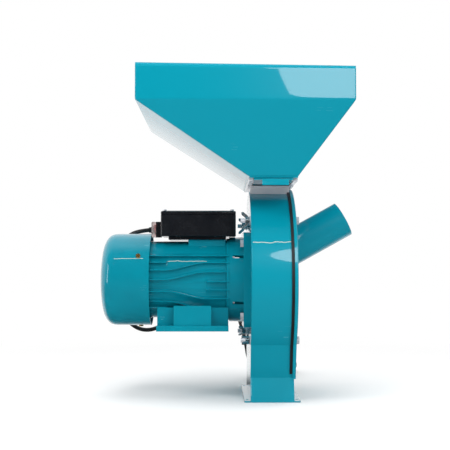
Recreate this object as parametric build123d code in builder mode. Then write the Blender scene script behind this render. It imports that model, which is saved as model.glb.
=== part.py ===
"""Electric hammer mill for grain and maize cobs, in millimetres, +Z up.

X runs along the motor shaft, from the motor at -X to the front cover at +X.
The origin is the centre of the base bolt pattern, on the underside of the base.
Every piece is a separate solid with its own STEP file in parts/.
"""

import math
import os

from build123d import *

os.makedirs("parts", exist_ok=True)

# --- driving dimensions -------------------------------------------------------------

shaft_height = 214.0  # shaft axis above the base
sheet = 2.0  # housing sheet
bolt_clearance = 0.5  # radial, for a bolt in a plain hole
running_fit = 0.08  # radial, for a pin or a nut that turns
body_gap = 0.4  # between pieces that move past each other

# drum housing, a keyhole outline in the YZ plane
drum_radius = 165.0
housing_back_x = -38.5
housing_front_x = 38.5
shoulder_z = shaft_height - 113.0
waist_z = 42.0
waist_half = 100.0
spout_half = 112.0

# base lips
lip_width = 11.0
lip_thickness = 2.5
lip_near_y = -spout_half
lip_far_y = spout_half - 7.0
base_hole_radius = 2.75
base_hole_x = housing_front_x + lip_width / 2
base_hole_y = 90.0

# front cover and its bolts
cover_back_x = housing_front_x - 3.0
cover_front_x = housing_front_x + 3.0
cover_overhang = 4.0
cover_bottom_z = 40.0
apron_top_z = 46.0
seal_width = 4.6
seal_thickness = 3.0
seal_bottom_z = 49.0
door_bolt_radius = 4.0
door_bolt_circle = drum_radius - 10.747
door_bolt_y = door_bolt_circle * math.cos(math.radians(42.8982))
door_bolt_z = door_bolt_circle * math.sin(math.radians(42.8982))
door_bolt_end = 17.5  # thread beyond the back plate

# cob inlet tube
tube_radius = 33.5
tube_wall = 2.0
tube_slope = 29.0
tube_entry_z = shaft_height + 59.0
tube_length = 113.0

# throat, gate and hopper
throat_half = 50.0
throat_front_x = housing_front_x - 3.5
throat_sheet = 2.0
flange_bottom_z = shaft_height + drum_radius + cover_overhang + 1.0
flange_sheet = 1.5
flange_half_y = 60.0
rail_height = 5.5
rail_near_y = -150.0
gate_thickness = 2.5
gate_half = throat_front_x - 0.8
gate_near_y = -161.0
gate_tab_low_x = -20.0
gate_tab_high_x = 26.0
gate_tab_drop = 9.0
gate_travel = 100.0
hopper_floor = 2.0
hopper_half_x = housing_front_x + 3.5
hopper_half_y = 158.0
hopper_fold_z = flange_bottom_z + 137.0
hopper_top_left_z = hopper_fold_z + 63.0  # the mouth is cut slightly out of level
hopper_top_right_z = hopper_fold_z + 57.5
hopper_left_x = -237.0
hopper_right_x = 138.5
hopper_mouth_half_y = 189.0
hopper_wall = 1.5
hopper_screw_radius = 2.0
hopper_screw_x = 39.0
hopper_screw_y = 40.0

# sieve and rotor
sieve_radius = drum_radius - 35.5
sieve_sheet = 1.5
sieve_gap_half_angle = 25.0
sieve_hole_radius = 4.5
sieve_columns = 31
sieve_rows = 4
ring_thickness = 2.5
ring_width = 10.0
shaft_radius = 12.0
hub_radius = 20.0
disc_radius = 75.0
disc_thickness = 4.0
back_disc_x = -28.0
front_disc_x = 18.0
pin_circle = 60.0
pin_radius = 5.0
pin_head_radius = 8.0
spacer_radius = 8.0
hammer_reach = sieve_radius - pin_circle - 7.5
hammer_tail = 13.0
hammer_width = 30.0
hammer_thickness = 4.0
hammer_count = 3
hammer_pitch = 13.0
hammer_first_x = (-22.5, -16.0)  # the hammers of neighbouring pins are staggered

# motor
flange_size = 172.0  # the motor's own, so the drum's radius can't go much under 150
flange_thickness = 11.5
flange_corner = 12.0
flange_bolt_offset = 66.0
bell_radius = 79.0
frame_front_x = -75.0
frame_back_x = -220.0
frame_radius = 72.0
frame_bore = 62.0
rib_radius = 79.5
rib_thickness = 2.4
pad_low_x = -151.0
pad_high_x = -81.0
pad_half_y = 35.0
pad_top_z = shaft_height + frame_radius + 1.5
foot_low_x = -206.0
foot_high_x = -77.0
foot_half_y = 90.0
foot_bottom_z = shaft_height - 91.5
foot_thickness = 10.0
foot_wall_y = 62.0
foot_block_y = 86.0
foot_block_low_x = -175.0
foot_block_high_x = -108.0
foot_block_top_z = foot_bottom_z + 45.5
foot_hole_radius = 5.0
foot_hole_x = 100.0
foot_hole_y = 140.0
air_gap = 0.5
rotor_core_radius = 37.5
core_low_x = -200.0
core_high_x = -110.0
bearing_radius = 26.0
bearing_bore = 12.5
bearing_width = 15.0
front_bearing_x = -72.0
rear_bearing_x = -245.0
race_inner_radius = 16.5
race_outer_radius = 22.0
rear_shield_back_x = -248.0
fan_cover_radius = 85.5
fan_cover_wall = 1.5
fan_cover_back_x = -312.0
fan_screw_x = -240.0

# terminal box, switch and cord
box_low_x = -201.0
box_high_x = -63.0
box_half_y = 50.0
box_bottom_z = pad_top_z + 6.0
box_joint_z = box_bottom_z + 39.5
box_top_z = box_joint_z + 10.0
box_wall = 2.5
box_base_low_x = -187.0
box_base_high_x = -81.0
box_base_half_y = 40.0
switch_depth = 10.0
switch_y = -16.0
switch_half_y = 14.0
switch_low_z = box_bottom_z - 1.5
switch_high_z = switch_low_z + 29.0
rocker_half_height = 9.5
rocker_half_y = 10.0
rocker_tilt = 8.0
hood_depth = 8.5
hood_wall = 1.2
gland_y = 32.0
gland_z = box_bottom_z + 14.5
gland_end_x = -228.0
cord_radius = 4.0

# The free cord from the gland to the floor behind the drum.
cord_route = [
    (-228, 32, 308),
    (-247, 35, 306),
    (-266, 46, 300),
    (-282, 66, 286),
    (-292, 88, 262),
    (-297, 103, 228),
    (-297, 108, 190),
    (-290, 108, 152),
    (-272, 106, 124),
    (-246, 104, 110),
    (-216, 104, 114),
    (-190, 103, 136),
    (-166, 94, 165),
    (-141, 83, 177),
    (-112, 82, 177),
    (-88, 94, 167),
    (-68, 114, 152),
    (-53, 138, 134),
    (-45, 163, 108),
    (-38, 184, 80),
    (-33, 198, 50),
    (-26, 208, 26),
    (-13, 214, 12),
    (6, 217.5, 4),
    (28, 218, 4),
]
# drawn for a gland at z 308, and drawn out or pressed down with it
cord_stretch = (gland_z - cord_radius) / (308.0 - cord_radius)
cord_route = [(x, y, cord_radius + (z - cord_radius) * cord_stretch) for x, y, z in cord_route]
coil_x = 21.0
coil_y = 262.0
coil_radius = 40.0
coil_turns_across = 2
coil_turns_high = 2
plug_x = 61.0
plug_boot_y = 289.0
plug_radius = 19.0

# --- values worked out from them ----------------------------------------------------

shaft_axis = Axis((0, 0, shaft_height), (1, 0, 0))
housing_inner_back_x = housing_back_x + sheet
flange_top_z = flange_bottom_z + flange_sheet
hopper_floor_z = flange_top_z + rail_height
hopper_bottom_z = hopper_floor_z + hopper_floor
gate_z = flange_top_z + (rail_height - gate_thickness) / 2
flange_back_x = housing_back_x - flange_thickness
axis_centre = (0, shaft_height)
cord_diameter = 2 * cord_radius


# --- shapes that several pieces share -----------------------------------------------


def block(low, high, mode=Mode.ADD):
    """A box between two corners."""
    centre = [(a + b) / 2 for a, b in zip(low, high)]
    with Locations(tuple(centre)):
        Box(*[b - a for a, b in zip(low, high)], mode=mode)


def turned(outline, mode=Mode.ADD):
    """A piece turned about the shaft axis from (x, radius) points."""
    with BuildSketch(Plane.XZ) as section:
        Polygon(*[(x, shaft_height + r) for x, r in outline], align=None)
    revolve(section.sketch, axis=shaft_axis, mode=mode)


def bar(x, length, radius, bore=0.0, mode=Mode.ADD):
    """A round bar or tube on the shaft axis, from x towards +X."""
    turned([(x, bore), (x + length, bore), (x + length, radius), (x, radius)], mode)


def keyhole(inset, mode=Mode.ADD, below=0.0):
    """The housing's keyhole outline, moved inwards by inset, and run on below the base."""
    radius = drum_radius - inset
    shoulder = math.sqrt(radius**2 - (shaft_height - shoulder_z) ** 2)
    foot = spout_half - inset + below * (spout_half - waist_half) / waist_z
    right = [(foot, -below), (waist_half - inset, waist_z), (shoulder, shoulder_z)]
    left = [(-y, z) for y, z in reversed(right)]
    with Locations(axis_centre):
        Circle(radius, mode=mode)
    Polygon(*right, *left, align=None, mode=mode)


def door_bolt_places():
    """The four bolts of the front cover, in the YZ plane."""
    return [
        (side * door_bolt_y, shaft_height + level * door_bolt_z)
        for side in (-1, 1)
        for level in (-1, 1)
    ]


def flange_bolt_places():
    """The four bolts of the motor flange, in the YZ plane."""
    return [
        (side * flange_bolt_offset, shaft_height + level * flange_bolt_offset)
        for side in (-1, 1)
        for level in (-1, 1)
    ]


def rods(places, x, length, radius, bore=0.0, sides=0):
    """Round or hexagonal rods parallel to X, each in its own solid."""
    with BuildSketch(Plane.YZ.offset(x)) as section:
        with Locations(*places):
            if sides:
                RegularPolygon(radius, sides)
            else:
                Circle(radius)
            if bore:
                Circle(bore, mode=Mode.SUBTRACT)
    extrude(section.sketch, amount=length)


# --- drum housing -------------------------------------------------------------------

spigot_hole_radius = 30.0
flange_bolt_radius = 4.0

with BuildPart() as housing_back_plate:
    with BuildSketch(Plane.YZ.offset(housing_back_x)):
        keyhole(0)
        with Locations(axis_centre):
            Circle(spigot_hole_radius, mode=Mode.SUBTRACT)
        with Locations(*flange_bolt_places()):
            Circle(flange_bolt_radius + bolt_clearance, mode=Mode.SUBTRACT)
        with Locations(*door_bolt_places()):
            Circle(door_bolt_radius + bolt_clearance, mode=Mode.SUBTRACT)
    extrude(amount=sheet)
housing_back_plate.part.label = "housing_back_plate"
export_step(housing_back_plate.part, "parts/housing_back_plate.step")

with BuildPart() as housing_shell:
    with BuildSketch(Plane.YZ.offset(housing_inner_back_x)):
        keyhole(0)
        keyhole(sheet, Mode.SUBTRACT, below=sheet)
    extrude(amount=housing_front_x - housing_inner_back_x)
    # the throat drops through the top
    block(
        (housing_inner_back_x, -throat_half, shaft_height),
        (throat_front_x, throat_half, flange_bottom_z),
        Mode.SUBTRACT,
    )
housing_shell.part.label = "housing_shell"
export_step(housing_shell.part, "parts/housing_shell.step")

with BuildPart() as front_apron:
    with BuildSketch(Plane.YZ.offset(housing_front_x - sheet)):
        keyhole(sheet)
        with Locations((0, apron_top_z)):
            Rectangle(
                4 * drum_radius,
                4 * drum_radius,
                align=(Align.CENTER, Align.MIN),
                mode=Mode.SUBTRACT,
            )
    extrude(amount=sheet)
front_apron.part.label = "front_apron"
export_step(front_apron.part, "parts/front_apron.step")

lip_corner = 4.0
with BuildPart() as base_lips:
    with BuildSketch(Plane.XY):
        for side in (-1, 1):
            inner_x = abs(housing_back_x if side < 0 else housing_front_x)
            with Locations((side * (inner_x + lip_width / 2), (lip_near_y + lip_far_y) / 2)):
                Rectangle(lip_width, lip_far_y - lip_near_y)
        fillet(vertices().filter_by(lambda v: abs(v.X) > housing_front_x + 1), lip_corner)
        with GridLocations(2 * base_hole_x, 2 * base_hole_y, 2, 2):
            Circle(base_hole_radius, mode=Mode.SUBTRACT)
    extrude(amount=lip_thickness)
base_lips.part.label = "base_lips"
export_step(base_lips.part, "parts/base_lips.step")

# The seal is a rubber strip round the outside of the shell, open at the throat.
with BuildPart() as cover_seal:
    with BuildSketch(Plane.YZ.offset(cover_back_x - body_gap - seal_width)):
        keyhole(-seal_thickness)
        keyhole(0, Mode.SUBTRACT, below=sheet)
        with Locations((0, seal_bottom_z)):
            Rectangle(
                4 * spout_half,
                seal_bottom_z + seal_thickness,
                align=(Align.CENTER, Align.MAX),
                mode=Mode.SUBTRACT,
            )
        with Locations(axis_centre):
            Rectangle(
                2 * throat_half,
                2 * drum_radius,
                align=(Align.CENTER, Align.MIN),
                mode=Mode.SUBTRACT,
            )
    extrude(amount=seal_width)
cover_seal.part.label = "cover_seal"
export_step(cover_seal.part, "parts/cover_seal.step")

# --- front cover with the cob inlet ---------------------------------------------------

tube_axis_plane = Plane(
    origin=(cover_front_x, 0, tube_entry_z),
    x_dir=(0, 1, 0),
    z_dir=(math.cos(math.radians(tube_slope)), 0, math.sin(math.radians(tube_slope))),
)
tube_run_in = 2 * tube_radius * math.tan(math.radians(tube_slope))
cover_edge_radius = 1.6

with BuildPart() as front_cover:
    with BuildSketch(Plane.YZ.offset(cover_back_x)):
        keyhole(-cover_overhang)
    extrude(amount=cover_front_x - cover_back_x)
    fillet(faces().sort_by(Axis.X)[-1].edges(), cover_edge_radius)
    with BuildSketch(Plane.YZ.offset(cover_back_x)):
        keyhole(sheet - cover_overhang)
    extrude(amount=cover_front_x - cover_back_x - sheet, mode=Mode.SUBTRACT)
    block(
        (cover_back_x - sheet, -2 * spout_half, -sheet),
        (cover_front_x + sheet, 2 * spout_half, cover_bottom_z),
        Mode.SUBTRACT,
    )
    with BuildSketch(tube_axis_plane.offset(-tube_run_in)):
        Circle(tube_radius - tube_wall)
    extrude(amount=2 * tube_run_in, mode=Mode.SUBTRACT)
    with BuildSketch(Plane.YZ.offset(cover_back_x)):
        with Locations(*door_bolt_places()):
            Circle(door_bolt_radius)
    extrude(amount=cover_front_x - cover_back_x, mode=Mode.SUBTRACT)
front_cover.part.label = "front_cover"
export_step(front_cover.part, "parts/front_cover.step")

with BuildPart() as cob_inlet_tube:
    with BuildSketch(tube_axis_plane.offset(-tube_run_in)):
        Circle(tube_radius)
        Circle(tube_radius - tube_wall, mode=Mode.SUBTRACT)
    extrude(amount=tube_run_in + tube_length)
    block(
        (cover_front_x - 4 * tube_radius, -2 * tube_radius, tube_entry_z - 4 * tube_radius),
        (cover_front_x, 2 * tube_radius, tube_entry_z + 4 * tube_radius),
        Mode.SUBTRACT,
    )
cob_inlet_tube.part.label = "cob_inlet_tube"
export_step(cob_inlet_tube.part, "parts/cob_inlet_tube.step")

bolt_head_radius = 7.5
bolt_head_height = 5.3
with BuildPart() as cover_bolts:
    rods(
        door_bolt_places(),
        housing_back_x - door_bolt_end,
        cover_front_x - housing_back_x + door_bolt_end,
        door_bolt_radius,
    )
    rods(door_bolt_places(), cover_front_x, bolt_head_height, bolt_head_radius, sides=6)
cover_bolts.part.label = "cover_bolts"
export_step(cover_bolts.part, "parts/cover_bolts.step")

washer_radius = 8.0
washer_thickness = 1.6
with BuildPart() as wing_nut_washers:
    rods(
        door_bolt_places(),
        housing_back_x - washer_thickness,
        washer_thickness,
        washer_radius,
        bore=door_bolt_radius + bolt_clearance,
    )
wing_nut_washers.part.label = "wing_nut_washers"
export_step(wing_nut_washers.part, "parts/wing_nut_washers.step")

# Each wing nut is a tapped hub with two upswept wings, turned as it was left.
wing_nut_face_x = housing_back_x - washer_thickness - body_gap
wing_hub_radius = 7.0
wing_hub_height = 7.0
wing_thickness = 2.6
wing_outline = [(4.5, 1.5), (9.0, 2.5), (16.5, 10.5), (16.0, 14.0), (12.0, 13.5), (6.0, 7.0)]
wing_angles = (20.0, 68.0, -35.0, 112.0)

for number, ((nut_y, nut_z), angle) in enumerate(zip(door_bolt_places(), wing_angles), 1):
    c = math.cos(math.radians(angle))
    s = math.sin(math.radians(angle))
    wing_plane = Plane(origin=(wing_nut_face_x, nut_y, nut_z), x_dir=(0, c, s), z_dir=(0, -s, c))
    with BuildPart() as wing_nut:
        rods([(nut_y, nut_z)], wing_nut_face_x - wing_hub_height, wing_hub_height, wing_hub_radius)
        with BuildSketch(wing_plane):
            Polygon(*wing_outline, align=None)
            Polygon(*[(-u, v) for u, v in reversed(wing_outline)], align=None)
        extrude(amount=wing_thickness / 2, both=True)
        with BuildSketch(Plane.YZ.offset(wing_nut_face_x - 2 * wing_hub_height)):
            with Locations((nut_y, nut_z)):
                Circle(door_bolt_radius + running_fit)
        extrude(amount=3 * wing_hub_height, mode=Mode.SUBTRACT)
    wing_nut.part.label = f"wing_nut_{number}"
    export_step(wing_nut.part, f"parts/wing_nut_{number}.step")

# --- throat, slide gate and hopper ------------------------------------------------------

throat_low = (housing_inner_back_x, -throat_half)
throat_high = (throat_front_x, throat_half)
throat_bottom_z = shaft_height + math.sqrt((drum_radius - sheet) ** 2 - throat_half**2)
opening_low = (throat_low[0] + throat_sheet, throat_low[1] + throat_sheet)
opening_high = (throat_high[0] - throat_sheet, throat_high[1] - throat_sheet)

with BuildPart() as throat:
    block((*throat_low, throat_bottom_z), (*throat_high, flange_bottom_z))
    block(
        (-hopper_half_x, -flange_half_y, flange_bottom_z),
        (hopper_half_x, flange_half_y, flange_top_z),
    )
    block(
        (*opening_low, throat_bottom_z),
        (*opening_high, flange_top_z),
        Mode.SUBTRACT,
    )
    with BuildSketch(Plane.XY.offset(flange_bottom_z)):
        with GridLocations(2 * hopper_screw_x, 2 * hopper_screw_y, 2, 2):
            Circle(hopper_screw_radius)
    extrude(amount=flange_sheet, mode=Mode.SUBTRACT)
throat.part.label = "throat"
export_step(throat.part, "parts/throat.step")

rail_inner_x = gate_half + body_gap
rail_stop_y = throat_half + 3 * body_gap + sheet
with BuildPart() as gate_rails:
    for side in (-1, 1):
        inner_x, outer_x = sorted((side * rail_inner_x, side * hopper_half_x))
        block((inner_x, rail_near_y, flange_top_z), (outer_x, flange_half_y, hopper_floor_z))
    block(
        (-rail_inner_x, rail_stop_y, flange_top_z),
        (rail_inner_x, flange_half_y, hopper_floor_z),
    )
    with BuildSketch(Plane.XY.offset(flange_top_z)):
        with GridLocations(2 * hopper_screw_x, 2 * hopper_screw_y, 2, 2):
            Circle(hopper_screw_radius)
    extrude(amount=rail_height, mode=Mode.SUBTRACT)
gate_rails.part.label = "gate_rails"
export_step(gate_rails.part, "parts/gate_rails.step")

gate_tab_thickness = 2.0
with BuildPart() as slide_gate:
    block(
        (-gate_half, gate_near_y, gate_z),
        (gate_half, rail_stop_y - body_gap, gate_z + gate_thickness),
    )
    block(
        (gate_tab_low_x, gate_near_y, gate_z - gate_tab_drop),
        (gate_tab_high_x, gate_near_y + gate_tab_thickness, gate_z + gate_thickness),
    )
slide_gate.part.label = "slide_gate"
export_step(slide_gate.part, "parts/slide_gate.step")

with BuildPart() as hopper_bottom_plate:
    block(
        (-hopper_half_x, -hopper_half_y, hopper_floor_z),
        (hopper_half_x, hopper_half_y, hopper_bottom_z),
    )
    block((*opening_low, hopper_floor_z), (*opening_high, hopper_bottom_z), Mode.SUBTRACT)
    with BuildSketch(Plane.XY.offset(hopper_floor_z)):
        with GridLocations(2 * hopper_screw_x, 2 * hopper_screw_y, 2, 2):
            Circle(hopper_screw_radius)
    extrude(amount=hopper_floor, mode=Mode.SUBTRACT)
hopper_bottom_plate.part.label = "hopper_bottom_plate"
export_step(hopper_bottom_plate.part, "parts/hopper_bottom_plate.step")

hopper_rise = hopper_fold_z - hopper_bottom_z


def level_wall(run):
    """The wall's thickness measured level, where it leans out by run over the cone."""
    return hopper_wall * math.hypot(run, hopper_rise) / hopper_rise


def corner_sketch(low_x, high_x, half_y, z):
    """A level rectangle, given by its ends along X and its half width along Y."""
    with BuildSketch(Plane.XY.offset(z)) as outline:
        with Locations(((low_x + high_x) / 2, 0)):
            Rectangle(high_x - low_x, 2 * half_y)
    return outline.sketch


with BuildPart() as hopper:
    cone = [
        corner_sketch(-hopper_half_x, hopper_half_x, hopper_half_y, hopper_bottom_z),
        corner_sketch(hopper_left_x, hopper_right_x, hopper_mouth_half_y, hopper_fold_z),
    ]
    loft(cone, ruled=True)
    extrude(cone[1], amount=hopper_top_left_z - hopper_fold_z)
    hollow = [
        corner_sketch(
            -hopper_half_x + level_wall(-hopper_left_x - hopper_half_x),
            hopper_half_x - level_wall(hopper_right_x - hopper_half_x),
            hopper_half_y - level_wall(hopper_mouth_half_y - hopper_half_y),
            hopper_bottom_z,
        ),
        corner_sketch(
            hopper_left_x + hopper_wall,
            hopper_right_x - hopper_wall,
            hopper_mouth_half_y - hopper_wall,
            hopper_fold_z,
        ),
    ]
    loft(hollow, ruled=True, mode=Mode.SUBTRACT)
    extrude(hollow[1], amount=hopper_top_left_z - hopper_fold_z, mode=Mode.SUBTRACT)
    with BuildSketch(Plane.XZ.offset(-2 * hopper_mouth_half_y)):
        Polygon(
            (hopper_left_x, hopper_top_left_z),
            (hopper_right_x, hopper_top_right_z),
            (hopper_right_x, hopper_top_left_z),
            align=None,
        )
    extrude(amount=4 * hopper_mouth_half_y, mode=Mode.SUBTRACT)
hopper.part.label = "hopper"
export_step(hopper.part, "parts/hopper.step")

with BuildPart() as hopper_screws:
    screw_head_radius = 3.8
    screw_head_height = 2.4
    with BuildSketch(Plane.XY.offset(flange_bottom_z)):
        with GridLocations(2 * hopper_screw_x, 2 * hopper_screw_y, 2, 2):
            Circle(hopper_screw_radius)
    extrude(amount=hopper_bottom_z - flange_bottom_z)
    with BuildSketch(Plane.XY.offset(hopper_bottom_z)):
        with GridLocations(2 * hopper_screw_x, 2 * hopper_screw_y, 2, 2):
            Circle(screw_head_radius)
    extrude(amount=screw_head_height)
    # the walls lean over the heads, so each head's outer side is cut back
    for side, mouth_x in ((-1, -hopper_left_x), (1, hopper_right_x)):
        wall_foot_x = hopper_half_x - level_wall(mouth_x - hopper_half_x)
        low_x, high_x = sorted((side * wall_foot_x, side * 2 * hopper_half_x))
        block(
            (low_x, -hopper_half_y, hopper_bottom_z),
            (high_x, hopper_half_y, hopper_bottom_z + screw_head_height),
            Mode.SUBTRACT,
        )
hopper_screws.part.label = "hopper_screws"
export_step(hopper_screws.part, "parts/hopper_screws.step")

# --- sieve ------------------------------------------------------------------------------

sieve_width = housing_front_x - housing_inner_back_x - 1.0
sieve_row_pitch = sieve_width / (sieve_rows + 0.6)
sieve_arc = 360.0 - 2 * sieve_gap_half_angle
sieve_pitch = sieve_arc / sieve_columns


def radial_place(x, angle, radius):
    """A plane facing outwards at a place on the shaft's cylinder, angle from +Z."""
    y = math.sin(math.radians(angle))
    z = math.cos(math.radians(angle))
    return Plane(origin=(x, radius * y, shaft_height + radius * z), z_dir=(0, y, z))


with BuildPart() as sieve_screen:
    with BuildSketch(Plane.YZ.offset(housing_inner_back_x)):
        with Locations(axis_centre):
            Circle(sieve_radius)
            Circle(sieve_radius - sieve_sheet, mode=Mode.SUBTRACT)
        spread = 2 * drum_radius * math.tan(math.radians(sieve_gap_half_angle))
        Polygon(
            axis_centre,
            (-spread, shaft_height + 2 * drum_radius),
            (spread, shaft_height + 2 * drum_radius),
            align=None,
            mode=Mode.SUBTRACT,
        )
    extrude(amount=sieve_width)
    holes = []
    for column in range(sieve_columns):
        angle = sieve_gap_half_angle + sieve_pitch * (column + 0.5)
        for row in range(sieve_rows):
            stagger = 0.8 if column % 2 else 0.4
            x = housing_inner_back_x + sieve_row_pitch * (row + 0.4 + stagger / 2)
            holes.append(radial_place(x, angle, sieve_radius))
    with Locations(*holes):
        Cylinder(sieve_hole_radius, 4 * sieve_sheet, mode=Mode.SUBTRACT)
sieve_screen.part.label = "sieve_screen"
export_step(sieve_screen.part, "parts/sieve_screen.step")

ring_inner_radius = sieve_radius + body_gap
with BuildPart() as sieve_ring:
    with BuildSketch(Plane.YZ.offset(housing_inner_back_x)):
        with Locations(axis_centre):
            Circle(ring_inner_radius + ring_thickness)
            Circle(ring_inner_radius, mode=Mode.SUBTRACT)
        Polygon(
            axis_centre,
            (-spread, shaft_height + 2 * drum_radius),
            (spread, shaft_height + 2 * drum_radius),
            align=None,
            mode=Mode.SUBTRACT,
        )
    extrude(amount=ring_width)
sieve_ring.part.label = "sieve_ring"
export_step(sieve_ring.part, "parts/sieve_ring.step")

# --- hammer rotor -------------------------------------------------------------------------

pin_angles = (45.0, 135.0, 225.0, 315.0)
hub_back_x = housing_inner_back_x + 3.5
hub_front_x = front_disc_x + disc_thickness + 3.0
shaft_end_x = hub_front_x - 1.5
pin_back_x = back_disc_x - 2.5
pin_front_x = front_disc_x + disc_thickness + 2.0
end_bolt_radius = 4.0
end_bolt_depth = 20.0
end_washer_radius = 15.0
end_washer_thickness = 2.5


def pin_places(angles=pin_angles):
    """The hammer pins in the YZ plane."""
    return [
        (
            pin_circle * math.cos(math.radians(angle)),
            shaft_height + pin_circle * math.sin(math.radians(angle)),
        )
        for angle in angles
    ]


def hammer_x(pin_number):
    """Where each hammer of a pin starts along X."""
    first = hammer_first_x[pin_number % 2]
    return [first + hammer_pitch * k for k in range(hammer_count)]


with BuildPart() as rotor_hub:
    bar(hub_back_x, hub_front_x - hub_back_x, hub_radius, bore=shaft_radius)
rotor_hub.part.label = "rotor_hub"
export_step(rotor_hub.part, "parts/rotor_hub.step")

with BuildPart() as rotor_discs:
    for disc_x in (back_disc_x, front_disc_x):
        with BuildSketch(Plane.YZ.offset(disc_x)):
            with Locations(axis_centre):
                Circle(disc_radius)
                Circle(hub_radius, mode=Mode.SUBTRACT)
            with Locations(*pin_places()):
                Circle(pin_radius, mode=Mode.SUBTRACT)
        extrude(amount=disc_thickness)
rotor_discs.part.label = "rotor_discs"
export_step(rotor_discs.part, "parts/rotor_discs.step")

with BuildPart() as hammer_pins:
    rods(pin_places(), back_disc_x, pin_front_x - back_disc_x, pin_radius)
    rods(pin_places(), pin_back_x, back_disc_x - pin_back_x, pin_head_radius)
hammer_pins.part.label = "hammer_pins"
export_step(hammer_pins.part, "parts/hammer_pins.step")

with BuildPart() as hammer_spacers:
    for number, place in enumerate(pin_places()):
        edges_x = [back_disc_x + disc_thickness]
        for x in hammer_x(number):
            edges_x += [x - body_gap, x + hammer_thickness + body_gap]
        edges_x.append(front_disc_x)
        for low_x, high_x in zip(edges_x[::2], edges_x[1::2]):
            if high_x - low_x > sheet:
                rods([place], low_x, high_x - low_x, spacer_radius, bore=pin_radius)
hammer_spacers.part.label = "hammer_spacers"
export_step(hammer_spacers.part, "parts/hammer_spacers.step")

hammer_corner = 2.0
for number, (pin_y, pin_z) in enumerate(pin_places()):
    with BuildPart() as hammer_set:
        for x in hammer_x(number):
            with BuildSketch(Plane.YZ.offset(x)):
                with Locations((pin_y, pin_z - (hammer_reach - hammer_tail) / 2)):
                    RectangleRounded(hammer_width, hammer_reach + hammer_tail, hammer_corner)
                with Locations((pin_y, pin_z)):
                    Circle(pin_radius + running_fit, mode=Mode.SUBTRACT)
            extrude(amount=hammer_thickness)
    hammer_set.part.label = f"hammer_set_{number + 1}"
    export_step(hammer_set.part, f"parts/hammer_set_{number + 1}.step")

with BuildPart() as shaft_end_bolt:
    bar(hub_front_x, end_washer_thickness, end_washer_radius)
    rods([axis_centre], hub_front_x + end_washer_thickness, bolt_head_height, 7.0, sides=6)
    bar(shaft_end_x - end_bolt_depth, hub_front_x - shaft_end_x + end_bolt_depth, end_bolt_radius)
shaft_end_bolt.part.label = "shaft_end_bolt"
export_step(shaft_end_bolt.part, "parts/shaft_end_bolt.step")

# --- motor: shaft, rotor and stator ---------------------------------------------------------

fan_back_x = -296.0
fan_front_x = -256.0
fan_shaft_radius = 8.0
rotor_seat_radius = 15.0
stator_bore = rotor_core_radius + air_gap
seal_x = -50.0
seal_length = 8.0
seal_radius = 20.0

with BuildPart() as rotor_shaft:
    turned(
        [
            (fan_back_x, 0),
            (shaft_end_x, 0),
            (shaft_end_x, shaft_radius),
            (front_bearing_x + bearing_width, shaft_radius),
            (front_bearing_x + bearing_width, bearing_bore),
            (front_bearing_x, bearing_bore),
            (front_bearing_x, rotor_seat_radius),
            (rear_bearing_x + bearing_width, rotor_seat_radius),
            (rear_bearing_x + bearing_width, bearing_bore),
            (rear_bearing_x, bearing_bore),
            (rear_bearing_x, fan_shaft_radius),
            (fan_back_x, fan_shaft_radius),
        ]
    )
    bar(shaft_end_x - end_bolt_depth, end_bolt_depth, end_bolt_radius, mode=Mode.SUBTRACT)
rotor_shaft.part.label = "rotor_shaft"
export_step(rotor_shaft.part, "parts/rotor_shaft.step")

end_ring_length = 9.0
with BuildPart() as rotor_core:
    bar(core_low_x, core_high_x - core_low_x, rotor_core_radius, bore=rotor_seat_radius)
    for ring_x in (core_low_x - end_ring_length, core_high_x):
        bar(ring_x, end_ring_length, rotor_core_radius - 2.0, bore=rotor_core_radius - 12.0)
rotor_core.part.label = "rotor_core"
export_step(rotor_core.part, "parts/rotor_core.step")

with BuildPart() as stator_core:
    bar(core_low_x, core_high_x - core_low_x, frame_bore, bore=stator_bore)
stator_core.part.label = "stator_core"
export_step(stator_core.part, "parts/stator_core.step")

winding_length = 20.0
winding_low_radius = 42.0
winding_high_radius = 57.0
with BuildPart() as stator_windings:
    for ring_x in (core_low_x - winding_length, core_high_x):
        bar(ring_x, winding_length, winding_high_radius, bore=winding_low_radius)
        # the coil ends are bound into a rounded ring
    fillet(edges().filter_by(GeomType.CIRCLE), 3.0)
stator_windings.part.label = "stator_windings"
export_step(stator_windings.part, "parts/stator_windings.step")

bearing_starts = (front_bearing_x, rear_bearing_x)
ball_count = 9
ball_radius = (race_outer_radius - race_inner_radius) / 2 - running_fit / 2
ball_circle = (race_outer_radius + race_inner_radius) / 2

with BuildPart() as bearing_outer_races:
    for start in bearing_starts:
        bar(start, bearing_width, bearing_radius, bore=race_outer_radius)
bearing_outer_races.part.label = "bearing_outer_races"
export_step(bearing_outer_races.part, "parts/bearing_outer_races.step")

with BuildPart() as bearing_inner_races:
    for start in bearing_starts:
        bar(start, bearing_width, race_inner_radius, bore=bearing_bore)
        for k in range(ball_count):
            angle = 2 * math.pi * k / ball_count
            middle = start + bearing_width / 2
            y = ball_circle * math.cos(angle)
            z = shaft_height + ball_circle * math.sin(angle)
            with Locations((middle, y, z)):
                Sphere(ball_radius)
bearing_inner_races.part.label = "bearing_inner_races"
export_step(bearing_inner_races.part, "parts/bearing_inner_races.step")

with BuildPart() as shaft_seal:
    bar(seal_x, seal_length, seal_radius, bore=shaft_radius + running_fit)
shaft_seal.part.label = "shaft_seal"
export_step(shaft_seal.part, "parts/shaft_seal.step")

# --- motor: frame, feet and end shields -------------------------------------------------------

rib_wave_low_x = -193.0
rib_wave_high_x = -116.0
short_rib_left_x = -187.0
short_rib_right_x = -118.0
rib_core_y = 30.0
rim_length = 5.0

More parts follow.
